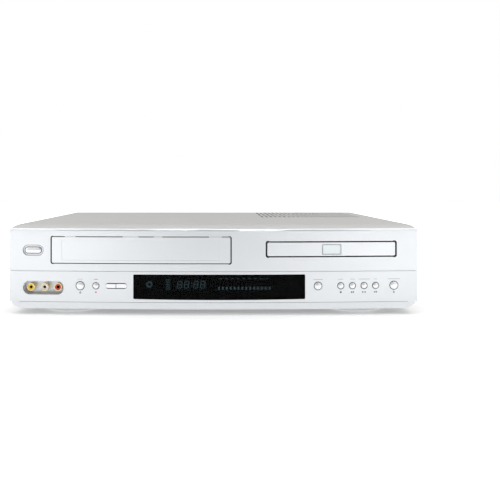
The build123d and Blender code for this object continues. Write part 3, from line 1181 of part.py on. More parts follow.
HOLDER_TOP = HOLDER_FLOOR_Z + HOLDER_INNER_H + HOLDER_SHEET
HOLDER_LOW = HOLDER_FLOOR_Z - HOLDER_SHEET
with BuildPart() as cassette_holder:
    holder_y = (HOLDER_FRONT, HOLDER_BACK)
    inner = HOLDER_INNER_W / 2
    for side in SIDES:
        add(box_between(side_span(side, inner, HOLDER_OUT), holder_y, (HOLDER_LOW, HOLDER_TOP)))
        ledge = side_span(side, inner - HOLDER_LEDGE, HOLDER_OUT)
        add(box_between(ledge, holder_y, (HOLDER_LOW, HOLDER_FLOOR_Z)))
        for y in HOLDER_PINS_Y:
            reach = side_span(side, HOLDER_OUT, CARRIER_OUT)
            add(rod_x(y, HOLDER_PIN_Z, reach[0], reach[1], HOLDER_PIN_R))
    top_x = (DECK_X - HOLDER_OUT, DECK_X + HOLDER_OUT)
    add(box_between(top_x, holder_y, (HOLDER_TOP - HOLDER_SHEET, HOLDER_TOP)))
    with BuildSketch(Plane.XY.offset(HOLDER_TOP - HOLDER_SHEET)):
        with Locations((DECK_X, (HOLDER_FRONT + HOLDER_BACK) / 2)):
            with GridLocations(HOLDER_HOLE_PITCH, 1.0, 3, 1):
                RectangleRounded(*HOLDER_HOLE)
    extrude(amount=HOLDER_SHEET, mode=Mode.SUBTRACT)
    for side in SIDES:
        stop = side_span(side, inner - HOLDER_STOP, HOLDER_OUT)
        add(box_between(stop, (HOLDER_BACK, HOLDER_BACK + HOLDER_SHEET), (HOLDER_LOW, HOLDER_TOP)))
save(cassette_holder, "cassette_holder")

# ---- Head drum ----
tilt = radians(DRUM_TILT)
drum_axis = Vector(sin(tilt), 0, cos(tilt))
drum_side = Vector(cos(tilt), 0, -sin(tilt))
drum_foot = Vector(DECK_X, DRUM_Y, DECK_TOP + DRUM_BASE_H)


def drum_disc(start, tall, radius):
    """Disc on the tilted drum axis, start above the drum's foot."""
    with BuildPart() as disc:
        with BuildSketch(Plane(drum_foot + drum_axis * start, z_dir=drum_axis)):
            Circle(radius)
        extrude(amount=tall)
    return disc.part


UPPER_START = DRUM_LOW_H + DRUM_GAP
with BuildPart() as lower_drum:
    add(rod_z(DECK_X, DRUM_Y, DECK_TOP, DECK_TOP + DRUM_BASE_H, DRUM_R - DRUM_BASE_SET))
    add(drum_disc(-DRUM_RIM, DRUM_LOW_H + DRUM_RIM, DRUM_R - DRUM_NECK_SET))
    add(drum_disc(DRUM_NECK_H, DRUM_LOW_H - DRUM_NECK_H, DRUM_R))
    add(rod_z(DECK_X, DRUM_Y, 0.0, DECK_TOP, 2 * DRUM_R), mode=Mode.SUBTRACT)
    shaft_h = UPPER_START + DRUM_UP_H - DRUM_LOW_H
    add(drum_disc(DRUM_LOW_H - OVERLAP, shaft_h, DRUM_SHAFT_R))
save(lower_drum, "lower_drum")

with BuildPart() as upper_drum:
    face = UPPER_START + DRUM_UP_H - DRUM_RIM
    add(drum_disc(UPPER_START, DRUM_UP_H - DRUM_RIM, DRUM_R))
    chamfer(upper_drum.edges().filter_by(GeomType.CIRCLE).sort_by(Axis.Z)[-1:], DRUM_CHAMFER)
    bore = drum_disc(UPPER_START - OVERLAP, DRUM_UP_H + 2 * OVERLAP, DRUM_SHAFT_R + SHAFT_FIT)
    add(bore, mode=Mode.SUBTRACT)
    hole_floor = drum_foot + drum_axis * (face - DRUM_HOLE_DEPTH)
    with BuildSketch(Plane(hole_floor, x_dir=drum_side, z_dir=drum_axis)):
        with PolarLocations(DRUM_HOLE_RING, DRUM_HOLES):
            Circle(DRUM_HOLE_R)
    extrude(amount=DRUM_HOLE_DEPTH, mode=Mode.SUBTRACT)
save(upper_drum, "upper_drum")

# ---- Reels, capstan, pinch roller, guides and heads ----
for name, x in REELS.items():
    with BuildPart() as reel:
        low = DECK_TOP + RUN_GAP
        disc_top = low + REEL_DISC_T
        add(rod_z(x, REEL_Y, low, disc_top, REEL_R))
        add(rod_z(x, REEL_Y, low, disc_top + REEL_HUB_H, REEL_HUB_R))
        with BuildSketch(Plane((x, REEL_Y, disc_top))):
            with PolarLocations(REEL_HUB_R, REEL_SPLINES):
                Circle(REEL_SPLINE_R)
        extrude(amount=REEL_HUB_H - REEL_SPLINE_DROP)
        add(rod_z(x, REEL_Y, low, disc_top, REEL_SHAFT_R + SHAFT_FIT), mode=Mode.SUBTRACT)
    save(reel, name)

with BuildPart() as capstan:
    wheel_low = DECK_Z - BEARING_H[0] - RUN_GAP - FLYWHEEL_T
    add(rod_z(CAPSTAN_X, CAPSTAN_Y, wheel_low, DECK_TOP + CAPSTAN_RISE, CAPSTAN_R))
    add(rod_z(CAPSTAN_X, CAPSTAN_Y, wheel_low, wheel_low + FLYWHEEL_T, FLYWHEEL_R))
    with BuildSketch(Plane((CAPSTAN_X, CAPSTAN_Y, wheel_low))):
        with PolarLocations(FLYWHEEL_HOLE_RING, FLYWHEEL_HOLES):
            Circle(FLYWHEEL_HOLE_R)
    extrude(amount=FLYWHEEL_T, mode=Mode.SUBTRACT)
save(capstan, "capstan")

ARM_Z = DECK_TOP + PIVOT_BOSS_H + RUN_GAP
rest_angle = radians(PINCH_REST_DEG)
PINCH_X = PINCH_PIVOT_X + PINCH_ARM_L * cos(rest_angle)
PINCH_Y = PINCH_PIVOT_Y + PINCH_ARM_L * sin(rest_angle)
with BuildPart() as pinch_arm:
    with BuildSketch(Plane.XY.offset(ARM_Z)):
        with Locations(Location((PINCH_PIVOT_X, PINCH_PIVOT_Y, 0), (0, 0, PINCH_REST_DEG))):
            with Locations((PINCH_ARM_L / 2, 0)):
                SlotCenterToCenter(PINCH_ARM_L, PINCH_ARM_W)
    extrude(amount=PINCH_ARM_T)
    hub_top = ARM_Z + PINCH_HUB_H
    add(rod_z(PINCH_PIVOT_X, PINCH_PIVOT_Y, ARM_Z, hub_top, PIVOT_BOSS_R))
    add(rod_z(PINCH_PIVOT_X, PINCH_PIVOT_Y, ARM_Z, hub_top, PIVOT_R + SHAFT_FIT), mode=Mode.SUBTRACT)
    pin_top = ARM_Z + PINCH_ARM_T + PINCH_ROLLER_H + PINCH_PIN_PROUD
    add(rod_z(PINCH_X, PINCH_Y, ARM_Z, pin_top, PINCH_PIN_R))
save(pinch_arm, "pinch_arm")

with BuildPart() as pinch_roller:
    low = ARM_Z + PINCH_ARM_T + RUN_GAP
    add(rod_z(PINCH_X, PINCH_Y, low, low + PINCH_ROLLER_H, PINCH_ROLLER_R))
    add(rod_z(PINCH_X, PINCH_Y, low, low + PINCH_ROLLER_H, PINCH_PIN_R + SHAFT_FIT), mode=Mode.SUBTRACT)
save(pinch_roller, "pinch_roller")

for name, x in GUIDES.items():
    with BuildPart() as guide:
        low = DECK_TOP + CASE_GAP
        half_w = GUIDE_BASE_W / 2
        half_d = GUIDE_BASE_D / 2
        base_y = (GUIDE_Y - half_d, GUIDE_Y + half_d)
        add(box_between((x - half_w, x + half_w), base_y, (low, low + GUIDE_BASE_T)))
        post_z = (low + GUIDE_BASE_T, low + GUIDE_BASE_T + GUIDE_ROLLER_H)
        add(rod_z(x, GUIDE_Y, DECK_Z - DECK_SHEET, low, GUIDE_TENON_R))
        add(rod_z(x, GUIDE_Y, *post_z, GUIDE_POST_R))
        roller_z = (post_z[0] + GUIDE_ROLLER_SET[0], post_z[1] - GUIDE_ROLLER_SET[1])
        add(rod_z(x, GUIDE_Y, *roller_z, GUIDE_ROLLER_R))
    save(guide, name)

with BuildPart() as tape_heads:
    erase_spot = (DECK_X - GUIDE_OFFSET - ERASE_HEAD[0], GUIDE_Y + ERASE_HEAD[1])
    for x, y in (erase_spot, (CAPSTAN_X, CAPSTAN_Y + AUDIO_HEAD_BACK)):
        step_z = DECK_TOP + HEAD_BLOCK_H
        tiers = ((0.0, (DECK_TOP, step_z)), (HEAD_STEP, (step_z, DECK_TOP + HEAD_H)))
        for step, head_z in tiers:
            half = HEAD_BLOCK / 2 - step
            add(box_between((x - half, x + half), (y - half, y + half), head_z))
save(tape_heads, "tape_heads")

# ---- Disc loader frame ----
RAIL_TOP = TRAY_Z - TRAY_RUN
POST_TOP = TRAY_Z - OVERLAP
ear_spots = [DISC_X + side * TRAVERSE_HALF * EAR_SHARE for side in SIDES]
loader_x = (DISC_X - LOADER_HALF, DISC_X + LOADER_HALF)
loader_y = (LOADER_FRONT, LOADER_BACK)
floor_top = LOADER_FLOOR_Z + LOADER_FLOOR_T
bridge_z = LOADER_TOP_Z - BRIDGE_T
bridge_y = (SPINDLE_Y - BRIDGE_D / 2, SPINDLE_Y + BRIDGE_D / 2)
with BuildPart() as drive_frame:
    add(box_between(loader_x, loader_y, (LOADER_FLOOR_Z, floor_top)))
    well_half = TRAVERSE_HALF + LOADER_WELL_GAP
    well_x = (DISC_X - well_half, DISC_X + well_half)
    well_y = (SPINDLE_Y - TRAVERSE_FRONT - LOADER_WELL_GAP, SPINDLE_Y + TRAVERSE_BACK + LOADER_WELL_GAP)
    add(box_between(well_x, well_y, (LOADER_FLOOR_Z, floor_top)), mode=Mode.SUBTRACT)
    for side in SIDES:
        wall = sorted((DISC_X + side * LOADER_HALF, DISC_X + side * (LOADER_HALF - LOADER_WALL)))
        add(box_between(wall, loader_y, (LOADER_FLOOR_Z, bridge_z)))
        rail = sorted((DISC_X + side * LOADER_HALF, DISC_X + side * (TRAY_HALF - RAIL_UNDER)))
        add(box_between(rail, loader_y, (RAIL_TOP - RAIL_UNDER, RAIL_TOP)))
    for x, y in corners(loader_x, loader_y, LOADER_LEG_MARGIN):
        add(rod_z(x, y, PAN_TOP, LOADER_FLOOR_Z, LOADER_LEG_R))
    pinion_x = DISC_X - PINION_X
    add(rod_z(pinion_x, PINION_Y, floor_top, POST_TOP - PINION_T, PINION_BOSS_R))
    add(rod_z(pinion_x, PINION_Y, floor_top, POST_TOP, PINION_SHAFT_R))
    for x in ear_spots:
        add(rod_z(x, well_y[1] + EAR_BACK, floor_top, POST_TOP, EAR_POST_R))
save(drive_frame, "drive_frame")

# ---- Tray, its front and badge ----
tray_front_left = DISC_X - TRAY_OPEN_W / 2 + TRAY_GAP
tray_front_right = DISC_X + TRAY_OPEN_W / 2 - TRAY_GAP
RACK_PITCH = pi * TOOTH_MODULE
PITCH_R = TOOTH_MODULE * PINION_TEETH / 2
rack_line_x = pinion_x - PITCH_R
RACK_TEETH = int((TRAY_TRAVEL + RACK_SPARE) / RACK_PITCH)
rack_first = PINION_Y - 4 * RACK_PITCH
ADDENDUM = TOOTH_HEIGHT * TOOTH_MODULE
TOOTH_HALF = RACK_PITCH / 4 - TOOTH_BACKLASH / 2
TOOTH_ROOT = TOOTH_HALF + ADDENDUM * TOOTH_SLOPE
TOOTH_TIP = TOOTH_HALF - ADDENDUM * TOOTH_SLOPE
with BuildPart() as disc_tray:
    with BuildSketch(Plane.XY.offset(TRAY_Z)):
        with BuildLine():
            tray_back = Y_END + TRAY_BACK
            left = DISC_X - TRAY_HALF
            right = DISC_X + TRAY_HALF
            face = ThreePointArc(*[(x, bow_y(x, TRAY_FRONT_T)) for x in (left, DISC_X, right)])
            Polyline(face @ 1, (right, tray_back), (left, tray_back), face @ 0)
        make_face()
    extrude(amount=TRAY_T)
    tray_top = TRAY_Z + TRAY_T
    well_z = tray_top - DISC_WELL
    add(rod_z(DISC_X, SPINDLE_Y, well_z, tray_top, DISC_R + DISC_FIT), mode=Mode.SUBTRACT)
    add(rod_z(DISC_X, SPINDLE_Y, well_z - SMALL_WELL, tray_top, SMALL_DISC_R + DISC_FIT), mode=Mode.SUBTRACT)
    slot_x = (DISC_X - TRAY_SLOT_HALF, DISC_X + TRAY_SLOT_HALF)
    slot_y = (SPINDLE_Y - TRAY_SLOT_FRONT, SPINDLE_Y + TRAY_SLOT_BACK)
    add(box_between(slot_x, slot_y, (TRAY_Z, tray_top)), mode=Mode.SUBTRACT)
    rack_x = (rack_line_x - RACK_W, rack_line_x - ADDENDUM)
    rack_y = (bow_y(rack_x[0], TRAY_FRONT_T) + RACK_FRONT, tray_back)
    add(box_between(rack_x, rack_y, (TRAY_Z - PINION_T, TRAY_Z)))
    with BuildSketch(Plane.XY.offset(TRAY_Z - PINION_T)):
        with Locations(*[(rack_line_x, rack_first + step * RACK_PITCH) for step in range(RACK_TEETH)]):
            tooth = [(ADDENDUM, -TOOTH_TIP), (ADDENDUM, TOOTH_TIP), (-ADDENDUM, TOOTH_ROOT)]
            Polygon((-ADDENDUM, -TOOTH_ROOT), *tooth, align=None)
    extrude(amount=PINION_T)
save(disc_tray, "disc_tray")

with BuildPart() as tray_front:
    with BuildSketch(facing(Y_JOINT, DISC_X, tray_z)):
        RectangleRounded(TRAY_OPEN_W - 2 * TRAY_GAP, TRAY_OPEN_H - 2 * TRAY_GAP, INNER_CORNER_R)
    extrude(amount=Y_JOINT - Y_FRONT)
    add(bow_block(tray_front_left, tray_front_right, 0, TRAY_FRONT_T, 0, HEIGHT), mode=Mode.INTERSECT)
    badge_low = tray_z - BADGE_UNDER - BADGE_H / 2
    cut_half = BADGE_W / 2 + BADGE_FIT
    cut_x = (DISC_X - cut_half, DISC_X + cut_half)
    cut_z = (badge_low - BADGE_FIT, badge_low + BADGE_H + BADGE_FIT)
    add(bow_block(*cut_x, -OVERLAP, BADGE_DEPTH, *cut_z), mode=Mode.SUBTRACT)
save(tray_front, "tray_front")

with BuildPart() as tray_badge:
    badge_x = (DISC_X - BADGE_W / 2, DISC_X + BADGE_W / 2)
    add(bow_block(*badge_x, BADGE_SET, BADGE_DEPTH, badge_low, badge_low + BADGE_H))
save(tray_badge, "tray_badge")

# ---- Tray pinion: slanted teeth on the same pitch as the tray's rack ----
with BuildPart() as tray_pinion:
    with BuildSketch(Plane.XY.offset(TRAY_Z - PINION_T + PINION_FIT)):
        with Locations((pinion_x, PINION_Y)):
            Circle(PITCH_R - ADDENDUM - 2 * PINION_FIT)
            with PolarLocations(PITCH_R, PINION_TEETH, start_angle=180 + 180 / PINION_TEETH):
                tip = TOOTH_TIP - PINION_FIT
                base = ADDENDUM + 6 * PINION_FIT
                tooth = [(ADDENDUM, -tip), (ADDENDUM, tip), (-base, TOOTH_ROOT)]
                Polygon((-base, -TOOTH_ROOT), *tooth, align=None)
            Circle(PINION_SHAFT_R + SHAFT_FIT, mode=Mode.SUBTRACT)
    extrude(amount=PINION_T - 2 * PINION_FIT)
save(tray_pinion, "tray_pinion")

# ---- Clamp over the disc ----
with BuildPart() as clamp_bridge:
    add(box_between(loader_x, bridge_y, (bridge_z, LOADER_TOP_Z)))
    add(rod_z(DISC_X, SPINDLE_Y, bridge_z, LOADER_TOP_Z, CLAMP_NECK_R + RUN_GAP), mode=Mode.SUBTRACT)
save(clamp_bridge, "clamp_bridge")

with BuildPart() as clamp_disc:
    under = bridge_z - RUN_GAP
    add(rod_z(DISC_X, SPINDLE_Y, CLAMP_LOW_Z, under, CLAMP_R))
    add(rod_z(DISC_X, SPINDLE_Y, under, LOADER_TOP_Z + RUN_GAP, CLAMP_NECK_R))
    add(rod_z(DISC_X, SPINDLE_Y, LOADER_TOP_Z + RUN_GAP, LOADER_TOP_Z + CLAMP_LID[1], CLAMP_LID[0]))
save(clamp_disc, "clamp_disc")

# ---- Traverse that lifts the disc to the clamp ----
trav_x = (DISC_X - TRAVERSE_HALF, DISC_X + TRAVERSE_HALF)
trav_y = (SPINDLE_Y - TRAVERSE_FRONT, SPINDLE_Y + TRAVERSE_BACK)
SLED_Y = SPINDLE_Y + SLED_START
ROD_Z = TRAVERSE_Z + ROD_R
with BuildPart() as traverse_plate:
    plate_z = (TRAVERSE_Z, TRAVERSE_Z + TRAVERSE_T)
    add(box_between(trav_x, trav_y, plate_z))
    window_x = (DISC_X - TRAVERSE_WINDOW, DISC_X + TRAVERSE_WINDOW)
    window_y = (SLED_Y - ROD_WINDOW[0], SLED_Y + SLED_TRAVEL + ROD_WINDOW[1])
    add(box_between(window_x, window_y, plate_z), mode=Mode.SUBTRACT)
    rod_ends = (window_y[0] - ROD_BLOCK, window_y[1] + ROD_BLOCK)
    for side in SIDES:
        rod_mid = DISC_X + side * ROD_OFFSET
        for y in (rod_ends[0], window_y[1]):
            block_x = (rod_mid - ROD_BLOCK, rod_mid + ROD_BLOCK)
            add(box_between(block_x, (y, y + ROD_BLOCK), (TRAVERSE_Z, ROD_Z + ROD_R + ROD_CAP)))
        add(rod_y(rod_mid, ROD_Z, *rod_ends, ROD_R), mode=Mode.SUBTRACT)
    ear_y = well_y[1] + EAR_BACK
    for x in ear_spots:
        add(box_between((x - EAR_R, x + EAR_R), (trav_y[1] - OVERLAP, ear_y), plate_z))
        add(rod_z(x, ear_y, *plate_z, EAR_R))
        add(rod_z(x, ear_y, *plate_z, EAR_POST_R + SLOT_FIT), mode=Mode.SUBTRACT)
save(traverse_plate, "traverse_plate")

with BuildPart() as guide_rods:
    for side in SIDES:
        add(rod_y(DISC_X + side * ROD_OFFSET, ROD_Z, *rod_ends, ROD_R))
save(guide_rods, "guide_rods")

with BuildPart() as spindle_motor:
    add(rod_z(DISC_X, SPINDLE_Y, plate_z[1], plate_z[1] + MOTOR_H, MOTOR_R))
    add(rod_z(DISC_X, SPINDLE_Y, plate_z[1], TURNTABLE_TOP_Z - SPINDLE_SET, SPINDLE_R))
save(spindle_motor, "spindle_motor")

with BuildPart() as turntable:
    table_low = plate_z[1] + MOTOR_H + RUN_GAP
    bore_top = TURNTABLE_TOP_Z - SPINDLE_SET + PINION_FIT
    add(rod_z(DISC_X, SPINDLE_Y, table_low, TURNTABLE_TOP_Z, TURNTABLE_R))
    add(rod_z(DISC_X, SPINDLE_Y, TURNTABLE_TOP_Z, TURNTABLE_TOP_Z + TURNTABLE_HUB_H, TURNTABLE_HUB_R))
    add(rod_z(DISC_X, SPINDLE_Y, table_low, bore_top, SPINDLE_R + SHAFT_FIT), mode=Mode.SUBTRACT)
save(turntable, "turntable")

with BuildPart() as pickup_sled:
    sled_z = (ROD_Z - SLED_UNDER, ROD_Z - SLED_UNDER + SLED_H)
    sled_x = (DISC_X - ROD_OFFSET - SLED_SIDE, DISC_X + ROD_OFFSET + SLED_SIDE)
    sled_y = (SLED_Y - SLED_SPAN[0], SLED_Y + SLED_SPAN[1])
    add(box_between(sled_x, sled_y, sled_z))
    for side in SIDES:
        add(rod_y(DISC_X + side * ROD_OFFSET, ROD_Z, *sled_y, ROD_R + SHAFT_FIT), mode=Mode.SUBTRACT)
    ring_top = sled_z[1] + LENS_RING[1]
    add(rod_z(DISC_X, SLED_Y, sled_z[1], ring_top, LENS_RING[0]))
    add(rod_z(DISC_X, SLED_Y, ring_top, ring_top + LENS[1], LENS[0]))
save(pickup_sled, "pickup_sled")
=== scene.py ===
import json
from math import cos, pi, radians, sin

import bmesh
import bpy
import numpy as np
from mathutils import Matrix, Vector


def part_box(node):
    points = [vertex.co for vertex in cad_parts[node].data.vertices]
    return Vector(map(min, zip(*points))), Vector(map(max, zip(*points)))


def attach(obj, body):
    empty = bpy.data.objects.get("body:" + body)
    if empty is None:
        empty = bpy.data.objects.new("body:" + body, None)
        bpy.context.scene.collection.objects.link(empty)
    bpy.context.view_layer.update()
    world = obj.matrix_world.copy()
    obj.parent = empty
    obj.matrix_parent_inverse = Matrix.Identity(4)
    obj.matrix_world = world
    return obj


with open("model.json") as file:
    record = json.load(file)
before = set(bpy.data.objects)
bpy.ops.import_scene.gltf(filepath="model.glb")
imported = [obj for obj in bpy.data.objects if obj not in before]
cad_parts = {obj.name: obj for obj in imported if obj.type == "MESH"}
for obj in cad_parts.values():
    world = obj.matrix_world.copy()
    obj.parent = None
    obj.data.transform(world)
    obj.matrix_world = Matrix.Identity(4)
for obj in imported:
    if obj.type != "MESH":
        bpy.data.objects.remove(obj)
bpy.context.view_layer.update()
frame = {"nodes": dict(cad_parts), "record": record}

bl_info = {
    "name": "Disc and Cassette Player",
    "version": (1, 0, 0),
    "blender": (4, 5, 0),
    "location": "3D Viewport > Sidebar > Player",
    "description": "Finishes, trims and stage for a disc and cassette player with a bowed front",
    "category": "Add Mesh",
}

MM = 0.001
NODES = frame["nodes"]
PANEL_LOW, PANEL_HIGH = (np.array(corner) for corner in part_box("front_panel"))
BOW = 10 * MM  # forward bulge of the front at mid width
HALF_WIDTH = PANEL_HIGH[0]
FRONT_Y = PANEL_LOW[1]
BOW_R = (HALF_WIDTH**2 + BOW**2) / (2 * BOW)
LOWER_INSET = 0.5 * MM  # lower half of the front behind the upper half
BUTTON_PROUD = 0.2 * MM  # heads in front of the upper half's surface
FLANGE_MARGIN = 0.8 * MM  # hidden flange round a button's head
WELD = 0.002 * MM  # points of a piece this near to each other are one
SLOTS = {row["node"]: row["material_slot"] for row in frame["record"]["subparts"]}
SQUARE = np.array([(-1, -1), (1, -1), (1, 1), (-1, 1)])  # corners about its middle, half a side being one


# ---- Surfaces on grids of two parameters ----


def bow_y(x, inset=0.0):
    """Depth of the front at x: a circle of the bow's radius, its centre behind the front."""
    return FRONT_Y + BOW_R - np.sqrt((BOW_R - inset) ** 2 - np.square(x))


def on_bow(x, z, inset):
    """Points of the front's own surface, pushed back along its normal by inset."""
    return np.stack([x, bow_y(x, inset), z], axis=-1)


def grid_faces(rows, columns, wrap=False):
    """Quads between neighbours of a grid stored row by row; wrap joins the last column to the first."""
    across = np.arange(columns if wrap else columns - 1)
    down = np.arange(rows - 1)[:, None] * columns
    here = down + across
    right = down + (across + 1) % columns
    return np.stack([here, right, right + columns, here + columns], axis=-1).reshape(-1, 4)


def ring_solid(rings):
    """Closed solid through a list of rings of equal length: quads between them, and a face over each end."""
    points = np.concatenate(rings)
    count = len(rings[0])
    sides = grid_faces(len(rings), count, wrap=True).tolist()
    first = np.arange(count)[::-1].tolist()
    last = (np.arange(count) + count * (len(rings) - 1)).tolist()
    return points, sides + [first, last]


def joined(shapes):
    """One set of points and faces from several."""
    points, faces, start = [], [], 0
    for shape_points, shape_faces in shapes:
        points.append(shape_points)
        faces += [[index + start for index in face] for face in shape_faces]
        start += len(shape_points)
    return np.concatenate(points), faces


def ring_loop(rings):
    """Closed tube through rings of equal length, whose last ring joins its first."""
    points, faces = ring_solid(rings)
    here = np.arange(len(rings[0]))
    right = np.roll(here, -1)
    last = len(points) - len(here)
    return points, faces[:-2] + np.stack([here + last, right + last, right, here], axis=-1).tolist()


def circles(profile, centre, axis, steps):
    """Circles about an axis, one for each (radius, height) in millimetres of a profile."""
    angle = np.linspace(0, 2 * pi, steps, endpoint=False)
    order = {"y": [2, 0, 1], "z": [0, 1, 2]}[axis]
    rings = []
    for radius, height in np.array(profile) * MM:
        ring = np.empty((steps, 3))
        ring[:, order[:2]] = radius * np.stack([np.cos(angle), np.sin(angle)], axis=-1)
        ring[:, order[2]] = height
        rings.append(ring + centre)
    return rings


def turned(profile, centre, axis="y", steps=48):
    """Solid of a profile of (radius, height) carried round an axis."""
    return ring_solid(circles(profile, centre, axis, steps))


def hollow_ring(profile, centre, axis="y", steps=48):
    """Ring with a bore: a closed profile of (radius, height) carried round an axis."""
    return ring_loop(circles(profile, centre, axis, steps))


def stadium(half_length, radius, steps=16):
    """Outline of a slot: two half circles joined by straight runs, as (x, z) points."""
    right = np.linspace(-pi / 2, pi / 2, steps)
    left = right + pi
    x = np.concatenate([half_length + radius * np.cos(right), -half_length + radius * np.cos(left)])
    z = np.concatenate([radius * np.sin(right), radius * np.sin(left)])
    return np.stack([x, z], axis=-1)


def rounded(half, corner, steps):
    """Outline of a rectangle of the given half sides about its middle: each corner is a quarter circle."""
    turn = np.linspace(0, pi / 2, steps)
    runs = []
    for quarter, signs in enumerate(((1, 1), (-1, 1), (-1, -1), (1, -1))):
        angle = turn + quarter * pi / 2
        arc = corner * np.stack([np.cos(angle), np.sin(angle)], axis=-1)
        runs.append(np.multiply(signs, half - corner) + arc)
    return np.concatenate(runs)


def bowed(outline, place, inset):
    """An (x, z) outline about a place, laid on the front."""
    flat = outline + place
    return on_bow(flat[:, 0], flat[:, 1], inset)


def strip(x, section):
    """Solid of a section of (inset, z) corners, carried along x on the front."""
    return ring_solid(list(np.stack([on_bow(x, np.full_like(x, z), inset) for inset, z in section], axis=1)))


def mark(outline, place, inset, proud):
    """Thin plate of an outline on the front."""
    return ring_solid([bowed(outline, place, inset + out) for out in (proud, -proud)])


def raised(outlines, levels, axis="z"):
    """Solid through flat outlines at given heights: (x, y) outlines along z, or (x, z) outlines along y."""
    order = [0, 1, 2] if axis == "z" else [0, 2, 1]
    rings = [np.column_stack([flat, np.full(len(flat), level)]) for flat, level in zip(outlines, levels)]
    return ring_solid([ring[:, order] for ring in rings])


def slab(low, high):
    """Box between two corners in millimetres."""
    low, high = np.array(low) * MM, np.array(high) * MM
    flat = low[:2] + (SQUARE + 1) / 2 * (high[:2] - low[:2])
    return raised([flat, flat], (low[2], high[2]))


def front_middle(node):
    """Middle of a CAD node as seen from the front, as (x, z)."""
    low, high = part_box(node)
    return np.array([(low[0] + high[0]) / 2, (low[2] + high[2]) / 2])


def piece(name, shape, body, slot, bevel=0.0, smooth=True):
    """Makes an object of points and faces in a slot's material, and lets it ride on a body."""
    points, faces = shape
    mesh = bpy.data.meshes.new(name)
    mesh.from_pydata(points.tolist(), [], faces)
    work = bmesh.new()
    work.from_mesh(mesh)
    bmesh.ops.remove_doubles(work, verts=work.verts, dist=WELD)
    bmesh.ops.recalc_face_normals(work, faces=work.faces)
    work.to_mesh(mesh)
    work.free()
    made = bpy.data.objects.new(name, mesh)
    bpy.context.scene.collection.objects.link(made)
    mesh.materials.append(MATERIALS[slot])
    if bevel:
        edge = made.modifiers.new("edges", "BEVEL")
        edge.width = bevel
        edge.segments = 2
        edge.limit_method = "ANGLE"
        edge.angle_limit = radians(40)
    if smooth:
        mesh.shade_smooth()
        mesh.set_sharp_from_angle(angle=radians(35))
    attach(made, body)


# ---- Shared effects as node groups ----

FLOAT = "NodeSocketFloat"
VECTOR = "NodeSocketVector"


def put(tree, kind, feeds=None, **settings):
    """Adds a node, sets its options, and feeds its inputs from values or other nodes' outputs."""
    made = tree.nodes.new(kind)
    for name, value in settings.items():
        setattr(made, name, value)
    for name, value in (feeds or {}).items():
        if isinstance(value, bpy.types.NodeSocket):
            tree.links.new(value, made.inputs[name])
        else:
            made.inputs[name].default_value = value
    return made


def new_group(name, inputs, outputs):
    """Empty node group with named inputs and outputs."""
    tree = bpy.data.node_groups.new(name, "ShaderNodeTree")
    for label, kind, default in inputs:
        tree.interface.new_socket(label, in_out="INPUT", socket_type=kind).default_value = default
    for label, kind in outputs:
        tree.interface.new_socket(label, in_out="OUTPUT", socket_type=kind)
    return tree, tree.nodes.new("NodeGroupInput").outputs, tree.nodes.new("NodeGroupOutput").inputs


def calc(tree, operation, first, second=0.0, third=0.0):
    """Output of a math node."""
    feeds = {0: first, 1: second, 2: third}
    return put(tree, "ShaderNodeMath", feeds, operation=operation).outputs[0]


def noise(tree, point, size, detail=3.0):
    """Noise whose features have the given size in metres."""
    scale = calc(tree, "DIVIDE", 1.0, size) if isinstance(size, bpy.types.NodeSocket) else 1.0 / size
    feeds = {"Vector": point, "Scale": scale, "Detail": detail, "Roughness": 0.55}
    return put(tree, "ShaderNodeTexNoise", feeds).outputs["Fac"]


def object_point(tree):
    """Place on the object, in metres."""
    return put(tree, "ShaderNodeTexCoord").outputs["Object"]


def ramp(tree, value, start, end, first, last):
    """Smooth step from a first value to a last one while the input goes from start to end."""
    feeds = {"Value": value, "From Min": start, "From Max": end, "To Min": first, "To Max": last}
    return put(tree, "ShaderNodeMapRange", feeds, interpolation_type="SMOOTHSTEP").outputs["Result"]


def moulded_grain():
    """Fine pebble of a moulded or sprayed surface, and the broad shade that moves with it."""
    inputs = [("Size", FLOAT, 0.3 * MM)]
    tree, given, result = new_group("moulded_grain", inputs, [("Height", FLOAT), ("Shade", FLOAT)])
    point = object_point(tree)
    tree.links.new(noise(tree, point, given["Size"]), result["Height"])
    tree.links.new(noise(tree, point, 35 * MM, 2.0), result["Shade"])
    return tree


def metal_flake():
    """Bright and dark flakes under a silver lacquer."""
    tree, given, result = new_group("metal_flake", [("Size", FLOAT, 0.12 * MM)], [("Shade", FLOAT)])
    scale = calc(tree, "DIVIDE", 1.0, given["Size"])
    cells = put(tree, "ShaderNodeTexVoronoi", {"Vector": object_point(tree), "Scale": scale})
    grey = put(tree, "ShaderNodeSeparateColor", {"Color": cells.outputs["Color"]}).outputs["Red"]
    tree.links.new(grey, result["Shade"])
    return tree


def rounded_edges():
    """Normal that rolls over sharp edges, and how much of an edge a point is."""
    outputs = [("Normal", VECTOR), ("Edge", FLOAT)]
    tree, given, result = new_group("rounded_edges", [("Radius", FLOAT, 0.3 * MM)], outputs)
    rolled = put(tree, "ShaderNodeBevel", {"Radius": given["Radius"]}, samples=6).outputs["Normal"]
    flat = put(tree, "ShaderNodeNewGeometry").outputs["Normal"]
    feeds = {0: rolled, 1: flat}
    same = put(tree, "ShaderNodeVectorMath", feeds, operation="DOT_PRODUCT").outputs["Value"]
    edge = calc(tree, "MULTIPLY", calc(tree, "SUBTRACT", 1.0, same), 6.0)
    tree.links.new(rolled, result["Normal"])
    tree.links.new(put(tree, "ShaderNodeClamp", {"Value": edge}).outputs[0], result["Edge"])
    return tree


